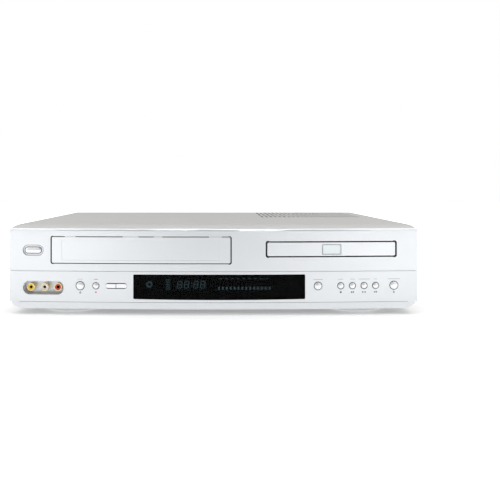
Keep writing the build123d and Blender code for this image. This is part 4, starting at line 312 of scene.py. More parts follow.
def rolled_lines():
    """Fine lines drawn out along one direction, as rolling or turning leaves them."""
    inputs = [("Stretch", VECTOR, (1.0, 30.0, 30.0)), ("Size", FLOAT, 2 * MM)]
    tree, given, result = new_group("rolled_lines", inputs, [("Height", FLOAT), ("Shade", FLOAT)])
    feeds = {"Vector": object_point(tree), "Scale": given["Stretch"]}
    drawn = put(tree, "ShaderNodeMapping", feeds).outputs[0]
    tree.links.new(noise(tree, drawn, given["Size"], 4.0), result["Height"])
    tree.links.new(noise(tree, object_point(tree), 25 * MM, 2.0), result["Shade"])
    return tree


def handled_gloss():
    """Roughness that wanders between two values, as wiping and handling leave it."""
    inputs = [("Smooth", FLOAT, 0.3), ("Rough", FLOAT, 0.4), ("Size", FLOAT, 18 * MM)]
    tree, given, result = new_group("handled_gloss", inputs, [("Roughness", FLOAT)])
    wander = noise(tree, object_point(tree), given["Size"], 5.0)
    span = calc(tree, "SUBTRACT", given["Rough"], given["Smooth"])
    tree.links.new(calc(tree, "MULTIPLY_ADD", wander, span, given["Smooth"]), result["Roughness"])
    return tree


def settled_dust():
    """Thin film on faces that look up, thicker in patches."""
    tree, given, result = new_group("settled_dust", [("Amount", FLOAT, 0.1)], [("Mask", FLOAT)])
    normal = put(tree, "ShaderNodeNewGeometry").outputs["Normal"]
    up = put(tree, "ShaderNodeSeparateXYZ", {"Vector": normal}).outputs["Z"]
    facing_up = put(tree, "ShaderNodeClamp", {"Value": up}).outputs[0]
    patches = noise(tree, object_point(tree), 9 * MM, 6.0)
    film = calc(tree, "MULTIPLY", facing_up, calc(tree, "MULTIPLY", patches, given["Amount"]))
    tree.links.new(film, result["Mask"])
    return tree


GROUPS = {}


def effect(tree, maker, feeds=None):
    """Places a shared effect in a material; its group is built the first time."""
    if maker.__name__ not in GROUPS:
        GROUPS[maker.__name__] = maker()
    return put(tree, "ShaderNodeGroup", feeds, node_tree=GROUPS[maker.__name__]).outputs


# ---- Materials ----


def linear(red, green, blue):
    """Linear colour of an 8-bit display colour."""
    shares = np.array([red, green, blue]) / 255.0
    low = shares / 12.92
    high = ((shares + 0.055) / 1.055) ** 2.4
    return tuple(float(v) for v in np.where(shares <= 0.04045, low, high))


def shaded(tree, colour, shade, amount):
    """Colour made lighter and darker by a shade between 0 and 1."""
    value = calc(tree, "MULTIPLY_ADD", shade, amount, 1.0 - amount / 2)
    return put(tree, "ShaderNodeHueSaturation", {"Color": (*colour, 1.0), "Value": value}).outputs[0]


def blend_colours(tree, share, first, second):
    """Mix of two colours."""
    first = first if isinstance(first, bpy.types.NodeSocket) else (*first, 1.0)
    second = second if isinstance(second, bpy.types.NodeSocket) else (*second, 1.0)
    return put(tree, "ShaderNodeMix", {0: share, 6: first, 7: second}, data_type="RGBA").outputs[2]


def new_material(name, **values):
    """Material whose shader has its plain values set, with its tree and the shader's inputs."""
    made = bpy.data.materials.new(name)
    made.use_nodes = True
    tree = made.node_tree
    shader = tree.nodes["Principled BSDF"].inputs
    for label, value in values.items():
        shader[label.replace("_", " ")].default_value = value
    return made, tree, shader


def surface(tree, shader, colour, gloss, height, depth, normal, spread=18 * MM):
    """Feeds the shader colour, a gloss that wanders over the spread, and a height laid on the normal."""
    feeds = {"Height": height, "Distance": depth, "Strength": 1.0, "Normal": normal}
    wander = effect(tree, handled_gloss, {"Smooth": gloss[0], "Rough": gloss[1], "Size": spread})
    tree.links.new(colour, shader["Base Color"])
    tree.links.new(wander["Roughness"], shader["Roughness"])
    tree.links.new(put(tree, "ShaderNodeBump", feeds).outputs[0], shader["Normal"])


def moulded(
    name, colour, gloss, grain=0.3 * MM, depth=0.004 * MM, edge=0.25 * MM, shade=0.05, dust=0.0, **values
):
    """Moulded plastic: fine pebble, softened edges, gloss that wanders and a little dust."""
    made, tree, shader = new_material(name, **values)
    pebble = effect(tree, moulded_grain, {"Size": grain})
    base = shaded(tree, colour, pebble["Shade"], shade)
    rolled = effect(tree, rounded_edges, {"Radius": edge})
    worn = calc(tree, "MULTIPLY", rolled["Edge"], 0.12)
    base = blend_colours(tree, worn, base, tuple(min(1.0, c * 1.25 + 0.03) for c in colour))
    if dust:
        film = effect(tree, settled_dust, {"Amount": dust})["Mask"]
        base = blend_colours(tree, film, base, linear(176, 172, 164))
    surface(tree, shader, base, gloss, pebble["Height"], depth, rolled["Normal"])
    return made


def lacquered(name, colour, gloss, flake, dust=0.03, **values):
    """Silver lacquer over a moulding: flakes, softened edges and gloss that wanders."""
    made, tree, shader = new_material(name, **values)
    flakes = effect(tree, metal_flake, {"Size": 0.16 * MM})["Shade"]
    pebble = effect(tree, moulded_grain, {"Size": 0.5 * MM})
    mixed = calc(tree, "MULTIPLY_ADD", flakes, 0.6, calc(tree, "MULTIPLY", pebble["Shade"], 0.4))
    film = effect(tree, settled_dust, {"Amount": dust})["Mask"]
    base = blend_colours(tree, film, shaded(tree, colour, mixed, flake), linear(205, 202, 196))
    rolled = effect(tree, rounded_edges, {"Radius": 0.3 * MM})
    surface(tree, shader, base, gloss, pebble["Height"], 0.0015 * MM, rolled["Normal"], 30 * MM)
    return made


def sheet_metal(name, colour, gloss, stretch, shade=0.18, **values):
    """Bare or plated metal with lines drawn out along one direction."""
    made, tree, shader = new_material(name, **{"Metallic": 0.95, **values})
    lines = effect(tree, rolled_lines, {"Stretch": stretch})
    rolled = effect(tree, rounded_edges, {"Radius": 0.25 * MM})
    mixed = calc(tree, "MULTIPLY_ADD", lines["Height"], 0.5, calc(tree, "MULTIPLY", lines["Shade"], 0.5))
    worn = calc(tree, "MULTIPLY", rolled["Edge"], 0.2)
    base = blend_colours(tree, worn, shaded(tree, colour, mixed, shade), (0.9, 0.9, 0.9))
    surface(tree, shader, base, gloss, lines["Height"], 0.004 * MM, rolled["Normal"])
    return made


def circuit_board(name, colour):
    """Solder mask over copper runs, with pads."""
    made, tree, shader = new_material(name, Coat_Weight=0.3)
    point = object_point(tree)
    runs_scale, pads_scale = 260.0, 320.0  # per metre
    sizes = {"Mortar Size": 0.09, "Brick Width": 1.7, "Row Height": 0.45}
    runs = put(tree, "ShaderNodeTexBrick", {"Vector": point, "Scale": runs_scale, **sizes}).outputs["Fac"]
    cells = put(tree, "ShaderNodeTexVoronoi", {"Vector": point, "Scale": pads_scale}).outputs["Distance"]
    pads = calc(tree, "LESS_THAN", cells, 0.22)
    base = blend_colours(tree, runs, colour, tuple(c * 1.9 for c in colour))
    base = blend_colours(tree, pads, base, linear(196, 190, 172))
    tree.links.new(calc(tree, "MULTIPLY", pads, 0.8), shader["Metallic"])
    rolled = effect(tree, rounded_edges, {"Radius": 0.1 * MM})
    surface(tree, shader, base, (0.3, 0.5), runs, 0.03 * MM, rolled["Normal"])
    return made


def smoked_window(name, colour):
    """Smoked window: dark body that lets a little light through, polished face with faint wipe marks."""
    made, tree, shader = new_material(name, IOR=1.12, Transmission_Weight=1.0)
    wipes = effect(tree, rolled_lines, {"Stretch": (1.0, 1.0, 9.0), "Size": 12 * MM})
    tint = shaded(tree, colour, wipes["Shade"], 0.2)
    rolled = effect(tree, rounded_edges, {"Radius": 0.35 * MM})
    surface(tree, shader, tint, (0.02, 0.07), wipes["Height"], 0.0004 * MM, rolled["Normal"], 26 * MM)
    return made


def faint_glow(name, colour, strength):
    """Mark behind the window that gives off a faint light of its own tint: painted glow."""
    made, tree, shader = new_material(name, Emission_Strength=strength)
    tint = shaded(tree, colour, effect(tree, moulded_grain, {"Size": 0.2 * MM})["Height"], 0.5)
    tree.links.new(tint, shader["Base Color"])
    tree.links.new(tint, shader["Emission Color"])
    wander = effect(tree, handled_gloss, {"Smooth": 0.5, "Rough": 0.7})
    tree.links.new(wander["Roughness"], shader["Roughness"])
    return made


def printed(name, colour):
    """Screen-printed ink, a little uneven."""
    return moulded(name, colour, (0.5, 0.65), grain=0.12 * MM, depth=0.001 * MM, edge=0.02 * MM, shade=0.3)


def coat(weight, roughness):
    """Plain values of a clear coat."""
    return {"Coat_Weight": weight, "Coat_Roughness": roughness}


def make_materials(finish):
    """All finishes by name; the ones that the record lists carry its slots' names."""
    steel_lines = (1.0, 30.0, 30.0)
    made = [
        lacquered("cover_paint", finish.cover, (0.38, 0.5), flake=0.10, dust=0.05, Metallic=0.25),
        lacquered("panel_silver", finish.panel, (0.28, 0.34), flake=0.07, Metallic=0.6, **coat(0.25, 0.2)),
        lacquered("door_silver", finish.door, (0.28, 0.34), flake=0.05, Metallic=0.65, **coat(0.3, 0.18)),
        lacquered("foot_silver", finish.foot, (0.17, 0.25), flake=0.04, Metallic=0.05, Coat_Weight=0.5),
        lacquered("button_silver", finish.button, (0.16, 0.24), flake=0.05, Metallic=0.55, Coat_Weight=0.4),
        lacquered("rear_paint", finish.rear, (0.4, 0.55), flake=0.12, Metallic=0.3),
        sheet_metal("pan_steel", linear(176, 178, 178), (0.3, 0.5), steel_lines),
        sheet_metal("deck_steel", linear(186, 188, 186), (0.26, 0.44), steel_lines),
        sheet_metal("can_tin", linear(196, 196, 194), (0.24, 0.42), (30.0, 1.0, 30.0)),
        sheet_metal("screw_steel", linear(150, 150, 152), (0.25, 0.4), (20.0, 20.0, 20.0)),
        sheet_metal("shaft_steel", linear(205, 206, 208), (0.1, 0.2), (40.0, 40.0, 1.0), shade=0.08),
        sheet_metal("drum_aluminium", linear(208, 210, 212), (0.14, 0.26), (1.0, 1.0, 60.0), shade=0.1),
        sheet_metal("jack_gold", finish.gold, (0.18, 0.3), (1.0, 20.0, 1.0), shade=0.12, Metallic=0.85),
        sheet_metal("core_iron", linear(92, 88, 84), (0.4, 0.6), (60.0, 60.0, 1.0), Metallic=0.6),
        moulded("pad_rubber", linear(38, 38, 38), (0.7, 0.9), grain=0.5 * MM, depth=0.03 * MM),
        moulded("part_black", linear(30, 30, 31), (0.42, 0.6), depth=0.01 * MM),
        moulded("loader_black", linear(42, 43, 45), (0.42, 0.6), depth=0.01 * MM, dust=0.15),
        moulded("tray_grey", finish.tray, (0.4, 0.52), grain=0.45 * MM, depth=0.012 * MM),
        moulded("reel_white", linear(226, 226, 220), (0.35, 0.5)),
        moulded("gear_white", linear(232, 230, 218), (0.3, 0.45)),
        moulded("roller_rubber", linear(34, 34, 36), (0.55, 0.7), depth=0.01 * MM),
        moulded("insert_yellow", finish.yellow, (0.2, 0.35), edge=0.15 * MM, Coat_Weight=0.3),
        moulded("insert_white", linear(238, 236, 226), (0.2, 0.35), edge=0.15 * MM, Coat_Weight=0.3),
        moulded("insert_red", finish.red, (0.2, 0.35), edge=0.15 * MM, Coat_Weight=0.3),
        moulded("badge_frost", finish.badge, (0.42, 0.55), grain=0.25 * MM, depth=0.01 * MM, Metallic=0.2),
        moulded("tube_glass", linear(58, 66, 68), (0.05, 0.12), depth=0.001 * MM, Coat_Weight=1.0),
        circuit_board("board_green", linear(38, 92, 58)),
        smoked_window("window_black", finish.window),
        # the clock's segments, the remote sensor and its rim give off light: painted glow
        faint_glow("segment_glow", linear(124, 148, 148), 2.4),
        faint_glow("sensor_glow", linear(70, 40, 44), 0.7),
        printed("ink_dark", linear(44, 48, 58)),
        printed("ink_faint", linear(150, 152, 158)),
        printed("ink_red", linear(206, 62, 66)),
        # dark grey of the rings round the buttons, which paint the shade of their gaps
        moulded("rim_shade_grey", linear(40, 43, 48), (0.3, 0.45), depth=0.001 * MM, edge=0.05 * MM),
        # black of the pieces that paint the shade in gaps and deep holes
        moulded("shade_black", linear(8, 8, 8), (0.6, 0.8), depth=0.002 * MM),
        # grey of the frame round the badge and of the plate's printed rules, and of the painted shade line
        # under the skirt
        moulded("grey_line_and_shade", linear(120, 122, 126), (0.5, 0.7), depth=0.001 * MM, edge=0.03 * MM),
        moulded("sleeve_blue", linear(26, 34, 74), (0.25, 0.4), depth=0.003 * MM, Coat_Weight=0.3),
        moulded("stripe_pale", linear(196, 200, 206), (0.3, 0.45), depth=0.003 * MM),
        moulded("tape_yellow", linear(214, 186, 70), (0.35, 0.5), depth=0.01 * MM, Coat_Weight=0.2),
        moulded("resistor_tan", linear(206, 178, 130), (0.35, 0.5), depth=0.005 * MM),
        sheet_metal("sink_black", linear(34, 35, 37), (0.35, 0.5), (1.0, 30.0, 1.0), Metallic=0.7),
        sheet_metal("coil_copper", linear(186, 104, 58), (0.2, 0.32), (20.0, 20.0, 20.0), shade=0.1),
    ]
    return {material.name.split(".")[0]: material for material in made}


MATERIALS = {}


def finish_nodes(*names):
    """Gives CAD nodes the full material of their slot."""
    for name in names:
        for holder in NODES[name].material_slots:
            holder.material = MATERIALS[SLOTS[name]]


# ---- Settings ----


def tone(name, description, default):
    """Colour property."""
    return bpy.props.FloatVectorProperty(
        name=name, description=description, default=default, size=3, min=0.0, max=1.0, subtype="COLOR"
    )


def length(name, description, default):
    """Length property in metres."""
    return bpy.props.FloatProperty(
        name=name, description=description, default=default, min=0.0, unit="LENGTH", precision=5
    )


def number(name, description, default, **limits):
    """Number property."""
    return bpy.props.FloatProperty(name=name, description=description, default=default, **limits)


class PLAYER_PG_finish(bpy.types.PropertyGroup):
    cover: tone("Cover", "Painted sheet cover", linear(206, 205, 203))
    panel: tone("Front Panel", "Silver lacquer of the front", linear(226, 229, 232))
    door: tone("Door and Tray Front", "Silver lacquer of the moving fronts", linear(229, 232, 235))
    foot: tone("Feet", "Lacquer of the feet", linear(250, 250, 251))
    button: tone("Buttons", "Lacquer of the button heads", linear(240, 242, 244))
    rear: tone("Rear Panel", "Painted rear sheet", linear(186, 188, 190))
    window: tone("Window", "Tint of the smoked window", (0.06, 0.075, 0.085))
    badge: tone("Badge", "Frosted plate on the tray's front", linear(232, 240, 242))
    tray: tone("Tray", "Disc tray", linear(150, 152, 154))
    gold: tone("Plating", "Shells of the sockets", linear(236, 214, 160))
    yellow: tone("Yellow Socket", "Insert of the yellow socket", linear(250, 214, 20))
    red: tone("Red Socket", "Insert of the red socket", linear(224, 40, 30))


class PLAYER_PG_detail(bpy.types.PropertyGroup):
    dome: length("Button Dome", "Rise of a button's cap in the middle", 0.55 * MM)
    # the rings round the buttons are dark, as painted shade of their gaps
    rim: length("Button Rim", "Width of the ring round a button", 0.75 * MM)
    thin_shade_rim: length("Thin Rim", "Width of the ring round the power button", 0.5 * MM)
    ink: length("Ink", "Thickness of printed marks", 0.02 * MM)
    mark_height: length("Mark Height", "Height of the symbols under the buttons", 1.9 * MM)
    label_rise: length("Label Rise", "Middle of a label's rule above its button", 6.9 * MM)
    symbol_drop: length("Symbol Drop", "Middle of a symbol below its button", 6.8 * MM)


class PLAYER_PG_stage(bpy.types.PropertyGroup):
    floor: length("Floor", "Half the side of the floor", 4.0)
    floor_glow: number("Floor Glow", "Light the floor gives off near the player", 0.24, min=0.0)
    view_y: number("Camera Depth", "Camera's place in front", -0.892, unit="LENGTH")
    view_z: number("Camera Height", "Camera's height", 0.1383, unit="LENGTH")
    lens: number("Lens", "Focal length in millimetres", 49.03)
    card: number("Card", "How far the floor ahead darkens in reflections", 0.55, min=0.0)
    front_sky: number("Front", "Light from the front", 0.22, min=0.0)
    side_sky: number("Sides", "Light from the sides", 0.62, min=0.0)
    top_watts: number("Top Light", "Power overhead", 20.5, min=0.0, unit="POWER")
    side_watts: number("Side Lights", "Power of the right one", 2.2, min=0.0, unit="POWER")


# ---- Operators ----


class PieceOperator:
    """What the operators share: the settings and one undo step."""

    bl_options = {"REGISTER", "UNDO"}

    def execute(self, context):
        self.detail = context.scene.player_detail
        self.build(context)
        return {"FINISHED"}


class PLAYER_OT_finishes(PieceOperator, bpy.types.Operator):
    """Make every finish, ready for the pieces"""

    bl_idname = "player.finishes"
    bl_label = "Finishes"

    def build(self, context):
        MATERIALS.update(make_materials(context.scene.player_finish))


class PLAYER_OT_stage(PieceOperator, bpy.types.Operator):
    """Put down the floor, the soft lights and the camera"""

    bl_idname = "player.stage"
    bl_label = "Stage"
    GLOW_REACH = (0.3, 0.9)  # distances from the middle over which the floor's glow comes up to full
    CARD_ASIDE = (0.03, 0.4)  # distances beside the middle over which the card fades
    CARD_AHEAD = (-0.7, -0.3)  # places ahead of the player over which it fades
    SKY_ASIDE = (0.03, 0.55)  # sideways shares of a direction from the front's light to the sides'
    TOP_LIGHT = (0.0, 0.1, 1.5)
    TOP_SIZE = 2.2
    SIDE_LIGHT = (1.25, -1.1, 0.75)  # place of the right one
    SIDE_TURN = (66, 48)  # degrees of its tilt and swing
    SIDE_SIZE = 1.0
    LEFT_SHARE = 1.15  # left one's power over the right one's
    SHIFT = (0.073, -0.131)  # of the camera's frame, in shares of its width

    def build(self, context):
        stage = context.scene.player_stage
        mesh = bpy.data.meshes.new("floor")
        mesh.from_pydata(np.column_stack([SQUARE * stage.floor, np.zeros(4)]).tolist(), [], [(0, 1, 2, 3)])
        floor = bpy.data.objects.new("floor", mesh)
        context.scene.collection.objects.link(floor)
        mesh.materials.append(self.pale(stage))
        self.surroundings(context, stage)
        self.softbox("light_top", self.TOP_LIGHT, (0.0, 0.0, 0.0), self.TOP_SIZE, stage.top_watts)
        x, y, z = self.SIDE_LIGHT
        tilt, swing = np.radians(self.SIDE_TURN)
        for name, side, share in (("light_left", -1, self.LEFT_SHARE), ("light_right", 1, 1.0)):
            turn = (tilt, 0.0, side * swing)
            self.softbox(name, (side * x, y, z), turn, self.SIDE_SIZE, stage.side_watts * share)
        view = bpy.data.cameras.new("camera")
        view.lens = stage.lens
        view.sensor_width = 36.0
        view.shift_x, view.shift_y = self.SHIFT
        camera = bpy.data.objects.new("camera", view)
        camera.location = (0.0, stage.view_y, stage.view_z)
        camera.rotation_euler = (radians(90), 0.0, 0.0)
        context.scene.collection.objects.link(camera)
        context.scene.camera = camera
        context.scene.view_settings.view_transform = "Standard"

    def pale(self, stage):
        """White floor that glows less near the player, with a dark card ahead that only reflections show."""
        white = (1.0, 1.0, 1.0, 1.0)
        made, tree, shader = new_material("floor_pale", Specular_IOR_Level=0.0, Emission_Color=white)
        point = object_point(tree)
        place = put(tree, "ShaderNodeSeparateXYZ", {"Vector": point}).outputs
        middle = ramp(tree, calc(tree, "ABSOLUTE", place["X"]), *self.CARD_ASIDE, 1.0, 0.0)
        ahead = ramp(tree, place["Y"], *self.CARD_AHEAD, stage.card, 0.0)
        mirrored = put(tree, "ShaderNodeLightPath").outputs["Is Glossy Ray"]
        card = calc(tree, "MULTIPLY", calc(tree, "MULTIPLY", middle, ahead), mirrored)
        share = calc(tree, "SUBTRACT", 1.0, card)
        tint = shaded(tree, (0.93, 0.93, 0.93), noise(tree, point, 0.4), 0.01)
        tree.links.new(blend_colours(tree, share, (0.0, 0.0, 0.0), tint), shader["Base Color"])
        wander = effect(tree, handled_gloss, {"Smooth": 0.7, "Rough": 0.8})
        tree.links.new(wander["Roughness"], shader["Roughness"])
        away = put(tree, "ShaderNodeVectorMath", {0: point}, operation="LENGTH").outputs["Value"]
        glow = ramp(tree, away, *self.GLOW_REACH, stage.floor_glow, 1.0)
        tree.links.new(calc(tree, "MULTIPLY", glow, share), shader["Emission Strength"])
        return made

    def surroundings(self, context, stage):
        """Light from all round, brighter from the sides than from the front, and white to the camera."""
        world = bpy.data.worlds.new("surroundings")
        world.use_nodes = True
        tree = world.node_tree
        way = put(tree, "ShaderNodeTexCoord").outputs["Generated"]
        aside = calc(tree, "ABSOLUTE", put(tree, "ShaderNodeSeparateXYZ", {"Vector": way}).outputs["X"])
        lit = ramp(tree, aside, *self.SKY_ASIDE, stage.front_sky, stage.side_sky)
        seen = put(tree, "ShaderNodeLightPath").outputs["Is Camera Ray"]
        strength = calc(tree, "MULTIPLY_ADD", seen, calc(tree, "SUBTRACT", 1.0, lit), lit)
        tree.links.new(strength, tree.nodes["Background"].inputs["Strength"])
        tree.nodes["Background"].inputs["Color"].default_value = (1.0, 1.0, 1.0, 1.0)
        context.scene.world = world

    def softbox(self, name, place, turn, side, power):
        """Square soft light."""
        light = bpy.data.lights.new(name, "AREA")
        light.size = side
        light.energy = power
        holder = bpy.data.objects.new(name, light)
        holder.location = place
        holder.rotation_euler = turn
        bpy.context.scene.collection.objects.link(holder)


class PLAYER_OT_casing(PieceOperator, bpy.types.Operator):
    """Finish the cover, front, pan, rear and feet"""

    bl_idname = "player.casing"
    bl_label = "Casing"

    def build(self, context):
        finish_nodes("top_cover", "front_panel", "bottom_pan", "rear_panel", "cover_screws")
        finish_nodes("feet", "foot_pads")


class PLAYER_OT_gap_shades(PieceOperator, bpy.types.Operator):
    """Line the edges of the door's and the tray's openings in black and the crease over the skirt in grey, as
    painted shade of the gaps
    """

    bl_idname = "player.linings"
    bl_label = "Opening Gap Shades"
    PROUD = 0.03 * MM
    BACK = 3.2 * MM
    FIT = 0.02 * MM
    CORNER = 2.0 * MM
    # opening's left, foot, right and top, its wall's thickness, and its lip's width round it and over the top
    OPENINGS = ((-172.4, 54.4, 18.7, 83.5, 0.5, 0.5, 0.3), (55.3, 61.5, 194.5, 78.5, 0.4, 0.4, 0.4))
    SKIRT_INSET = 1.8 * MM
    SKIRT_HALF = 207.0 * MM
    SEAM = ((0.02, 14.1), (-0.35, 14.1), (-0.35, 13.55), (0.02, 13.55))  # inset from the skirt, and height, of the grey strip that paints the shade under the ledge

    def gap_shade(self, left, foot, right, top, thick, lip, top_lip):
        """Closed ring of six loops: a wall inside the opening, and a thin lip over the front's surface, in
        black as painted shade of the gap.
        """
        low, high = np.array([left, foot]) * MM, np.array([right, top]) * MM
        thick, lip, fit = thick * MM, lip * MM, self.FIT
        section = ((lip, -self.PROUD), (-thick, -self.PROUD), (-thick, self.BACK))
        section += ((-fit, self.BACK), (-fit, self.PROUD), (lip, self.PROUD))
        rings = []
        for grown, inset in section:
            outline = (low + high) / 2 + rounded((high - low) / 2 + grown, self.CORNER + grown, 9)
            rings.append(on_bow(outline[:, 0], np.minimum(outline[:, 1], high[1] + top_lip * MM), inset))
        return ring_loop(rings)

    def build(self, context):
        gap_shades = joined([self.gap_shade(*opening) for opening in self.OPENINGS])
        # black rings that stand in for the shade in the gaps round the door and the tray: painted shade
        piece("opening_gap_shades", gap_shades, "case", "shade_black")
        x = np.linspace(-self.SKIRT_HALF, self.SKIRT_HALF, 81)
        # grey strip in the crease under the lower half's edge: painted shade
        piece("skirt_shade_line", strip(x, np.array(self.SEAM) * MM + (self.SKIRT_INSET, 0.0)), "case", "grey_line_and_shade")


class PLAYER_OT_door(PieceOperator, bpy.types.Operator):
    """Finish the cassette door and give it the knuckles that show in its top gap"""

    bl_idname = "player.door"
    bl_label = "Cassette Door"
    KNUCKLES = ((-151.8, 11.5), (-87.6, 17.0), (-58.4, 9.0), (2.0, 13.6))  # middle and width of each
    SECTION = ((0.25, -0.8), (0.25, 0.42), (1.4, 0.42), (1.4, -0.8))  # inset, and rise over the door's edge

    def build(self, context):
        finish_nodes("cassette_door")
        section = np.array(self.SECTION) * MM + (0.0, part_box("cassette_door")[1][2])
        across = np.linspace(-0.5, 0.5, 9)
        spans = [(middle + width * across) * MM for middle, width in self.KNUCKLES]
        piece("door_knuckles", joined([strip(x, section) for x in spans]), "door", "door_silver", 0.15 * MM)


class PLAYER_OT_tray(PieceOperator, bpy.types.Operator):
    """Finish the disc tray, its front and the frosted plate on it"""

    bl_idname = "player.tray"
    bl_label = "Disc Tray"
    FRAME_WIDTH = 0.35 * MM
    FRAME_BACK, FRAME_FRONT = 0.3 * MM, -0.05 * MM  # of the frame's faces behind the plate's face

    def build(self, context):
        finish_nodes("disc_tray", "tray_front", "tray_badge", "tray_pinion")
        low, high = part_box("tray_badge")
        place = front_middle("tray_badge")
        half = np.array([high[0] - low[0], high[2] - low[2]]) / 2
        face = low[1] - bow_y(place[0])
        steps = [(half, self.FRAME_BACK), (half, self.FRAME_FRONT)]
        steps += [(sides - self.FRAME_WIDTH, back) for sides, back in steps[::-1]]
        rings = [bowed(SQUARE * sides, place, face + back) for sides, back in steps]
        piece("badge_frame", ring_loop(rings), "tray", "grey_line_and_shade", 0.05 * MM)


class PLAYER_OT_window(PieceOperator, bpy.types.Operator):
    """Finish the smoked window, and set the remote sensor and the clock's segments behind it, both with a
    painted glow
    """

    bl_idname = "player.window"
    bl_label = "Display"
    SENSOR = (-68.0, 32.4)
    SENSOR_RIM = ((2.5, 0.3), (2.9, 0.3), (3.1, 0.8), (3.1, 3.0), (2.3, 3.0), (2.3, 0.6))  # radius, and depth
    GLASS = 2.3 * MM
    SEGMENT = 0.12 * MM
    DIGITS_X = (-36.5, -29.0, -19.0, -11.5)
    DIGIT_W, DIGIT_H, DIGIT_Z = 4.4, 7.4, 30.2
    STROKE = 0.75
    LEAN = 0.12
    COLON_X = -24.0
    MODES = (-49.0, 35.4, 2.5)  # place of the upper bar, and pitch
    TICKS = (8.0, 36.6, 6.2)  # place of the left tick, and pitch
    LEVELS = (6.0, 26.4, 4.2)  # place of the left block, and pitch

    def bar(self, along):
        """Six-cornered bar of a digit."""
        half, tip = along / 2, self.STROKE / 2
        right = [(half - tip, tip), (half, 0), (half - tip, -tip)]
        return np.array([(-half, 0), (tip - half, tip), *right, (tip - half, -tip)])

    def digit(self, x):
        """Seven bars of a digit, leaned to the right."""
        half_w, half_h = self.DIGIT_W / 2, self.DIGIT_H / 2
        flat, upright = self.bar(self.DIGIT_W - 0.5), self.bar(half_h - 0.4)[:, ::-1]
        bars = [flat + (0, level * half_h) for level in (-1, 0, 1)]
        bars += [upright + (side * half_w, level * half_h / 2) for side in (-1, 1) for level in (-1, 1)]
        lean = np.array([[1.0, 0.0], [self.LEAN, 1.0]])
        return [bar @ lean + (x, self.DIGIT_Z) for bar in bars]

    def build(self, context):
        finish_nodes("display_window", "display_tube", "front_board", "tact_switches")
        outlines = [bar for x in self.DIGITS_X for bar in self.digit(x)]
        dot = stadium(0, 0.5, 8)
        outlines += [dot + (self.COLON_X + rise * self.LEAN, self.DIGIT_Z + rise) for rise in (-1.6, 1.6)]
        x, z, pitch = self.MODES
        outlines += [stadium(2.2 - 0.3 * (row % 2), 0.35, 6) + (x, z - pitch * row) for row in range(5)]
        x, z, pitch = self.TICKS
        outlines += [stadium(1.1, 0.35, 6) + (x + pitch * column, z) for column in range(9)]
        x, z, pitch = self.LEVELS
        outlines += [SQUARE * (0.9, 1.6) + (x + pitch * column, z) for column in range(14)]
        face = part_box("display_tube")[0][1]
        shapes = [raised([outline * MM] * 2, (face - self.SEGMENT, face), "y") for outline in outlines]
        piece("clock_segments", joined(shapes), "case", "segment_glow", smooth=False)
        x, z = np.array(self.SENSOR) * MM
        centre = np.array([x, bow_y(x, LOWER_INSET + self.GLASS), z])
        board = (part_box("front_board")[0][1] - centre[1]) / MM
        lens = [(0.0, 0.6), (1.0, 0.7), (1.7, 1.2), (2.1, 2.2), (2.1, board), (0.0, board)]
        piece("remote_sensor", turned(lens, centre), "case", "sensor_glow")
        piece("sensor_rim", hollow_ring(self.SENSOR_RIM, centre), "case", "segment_glow")


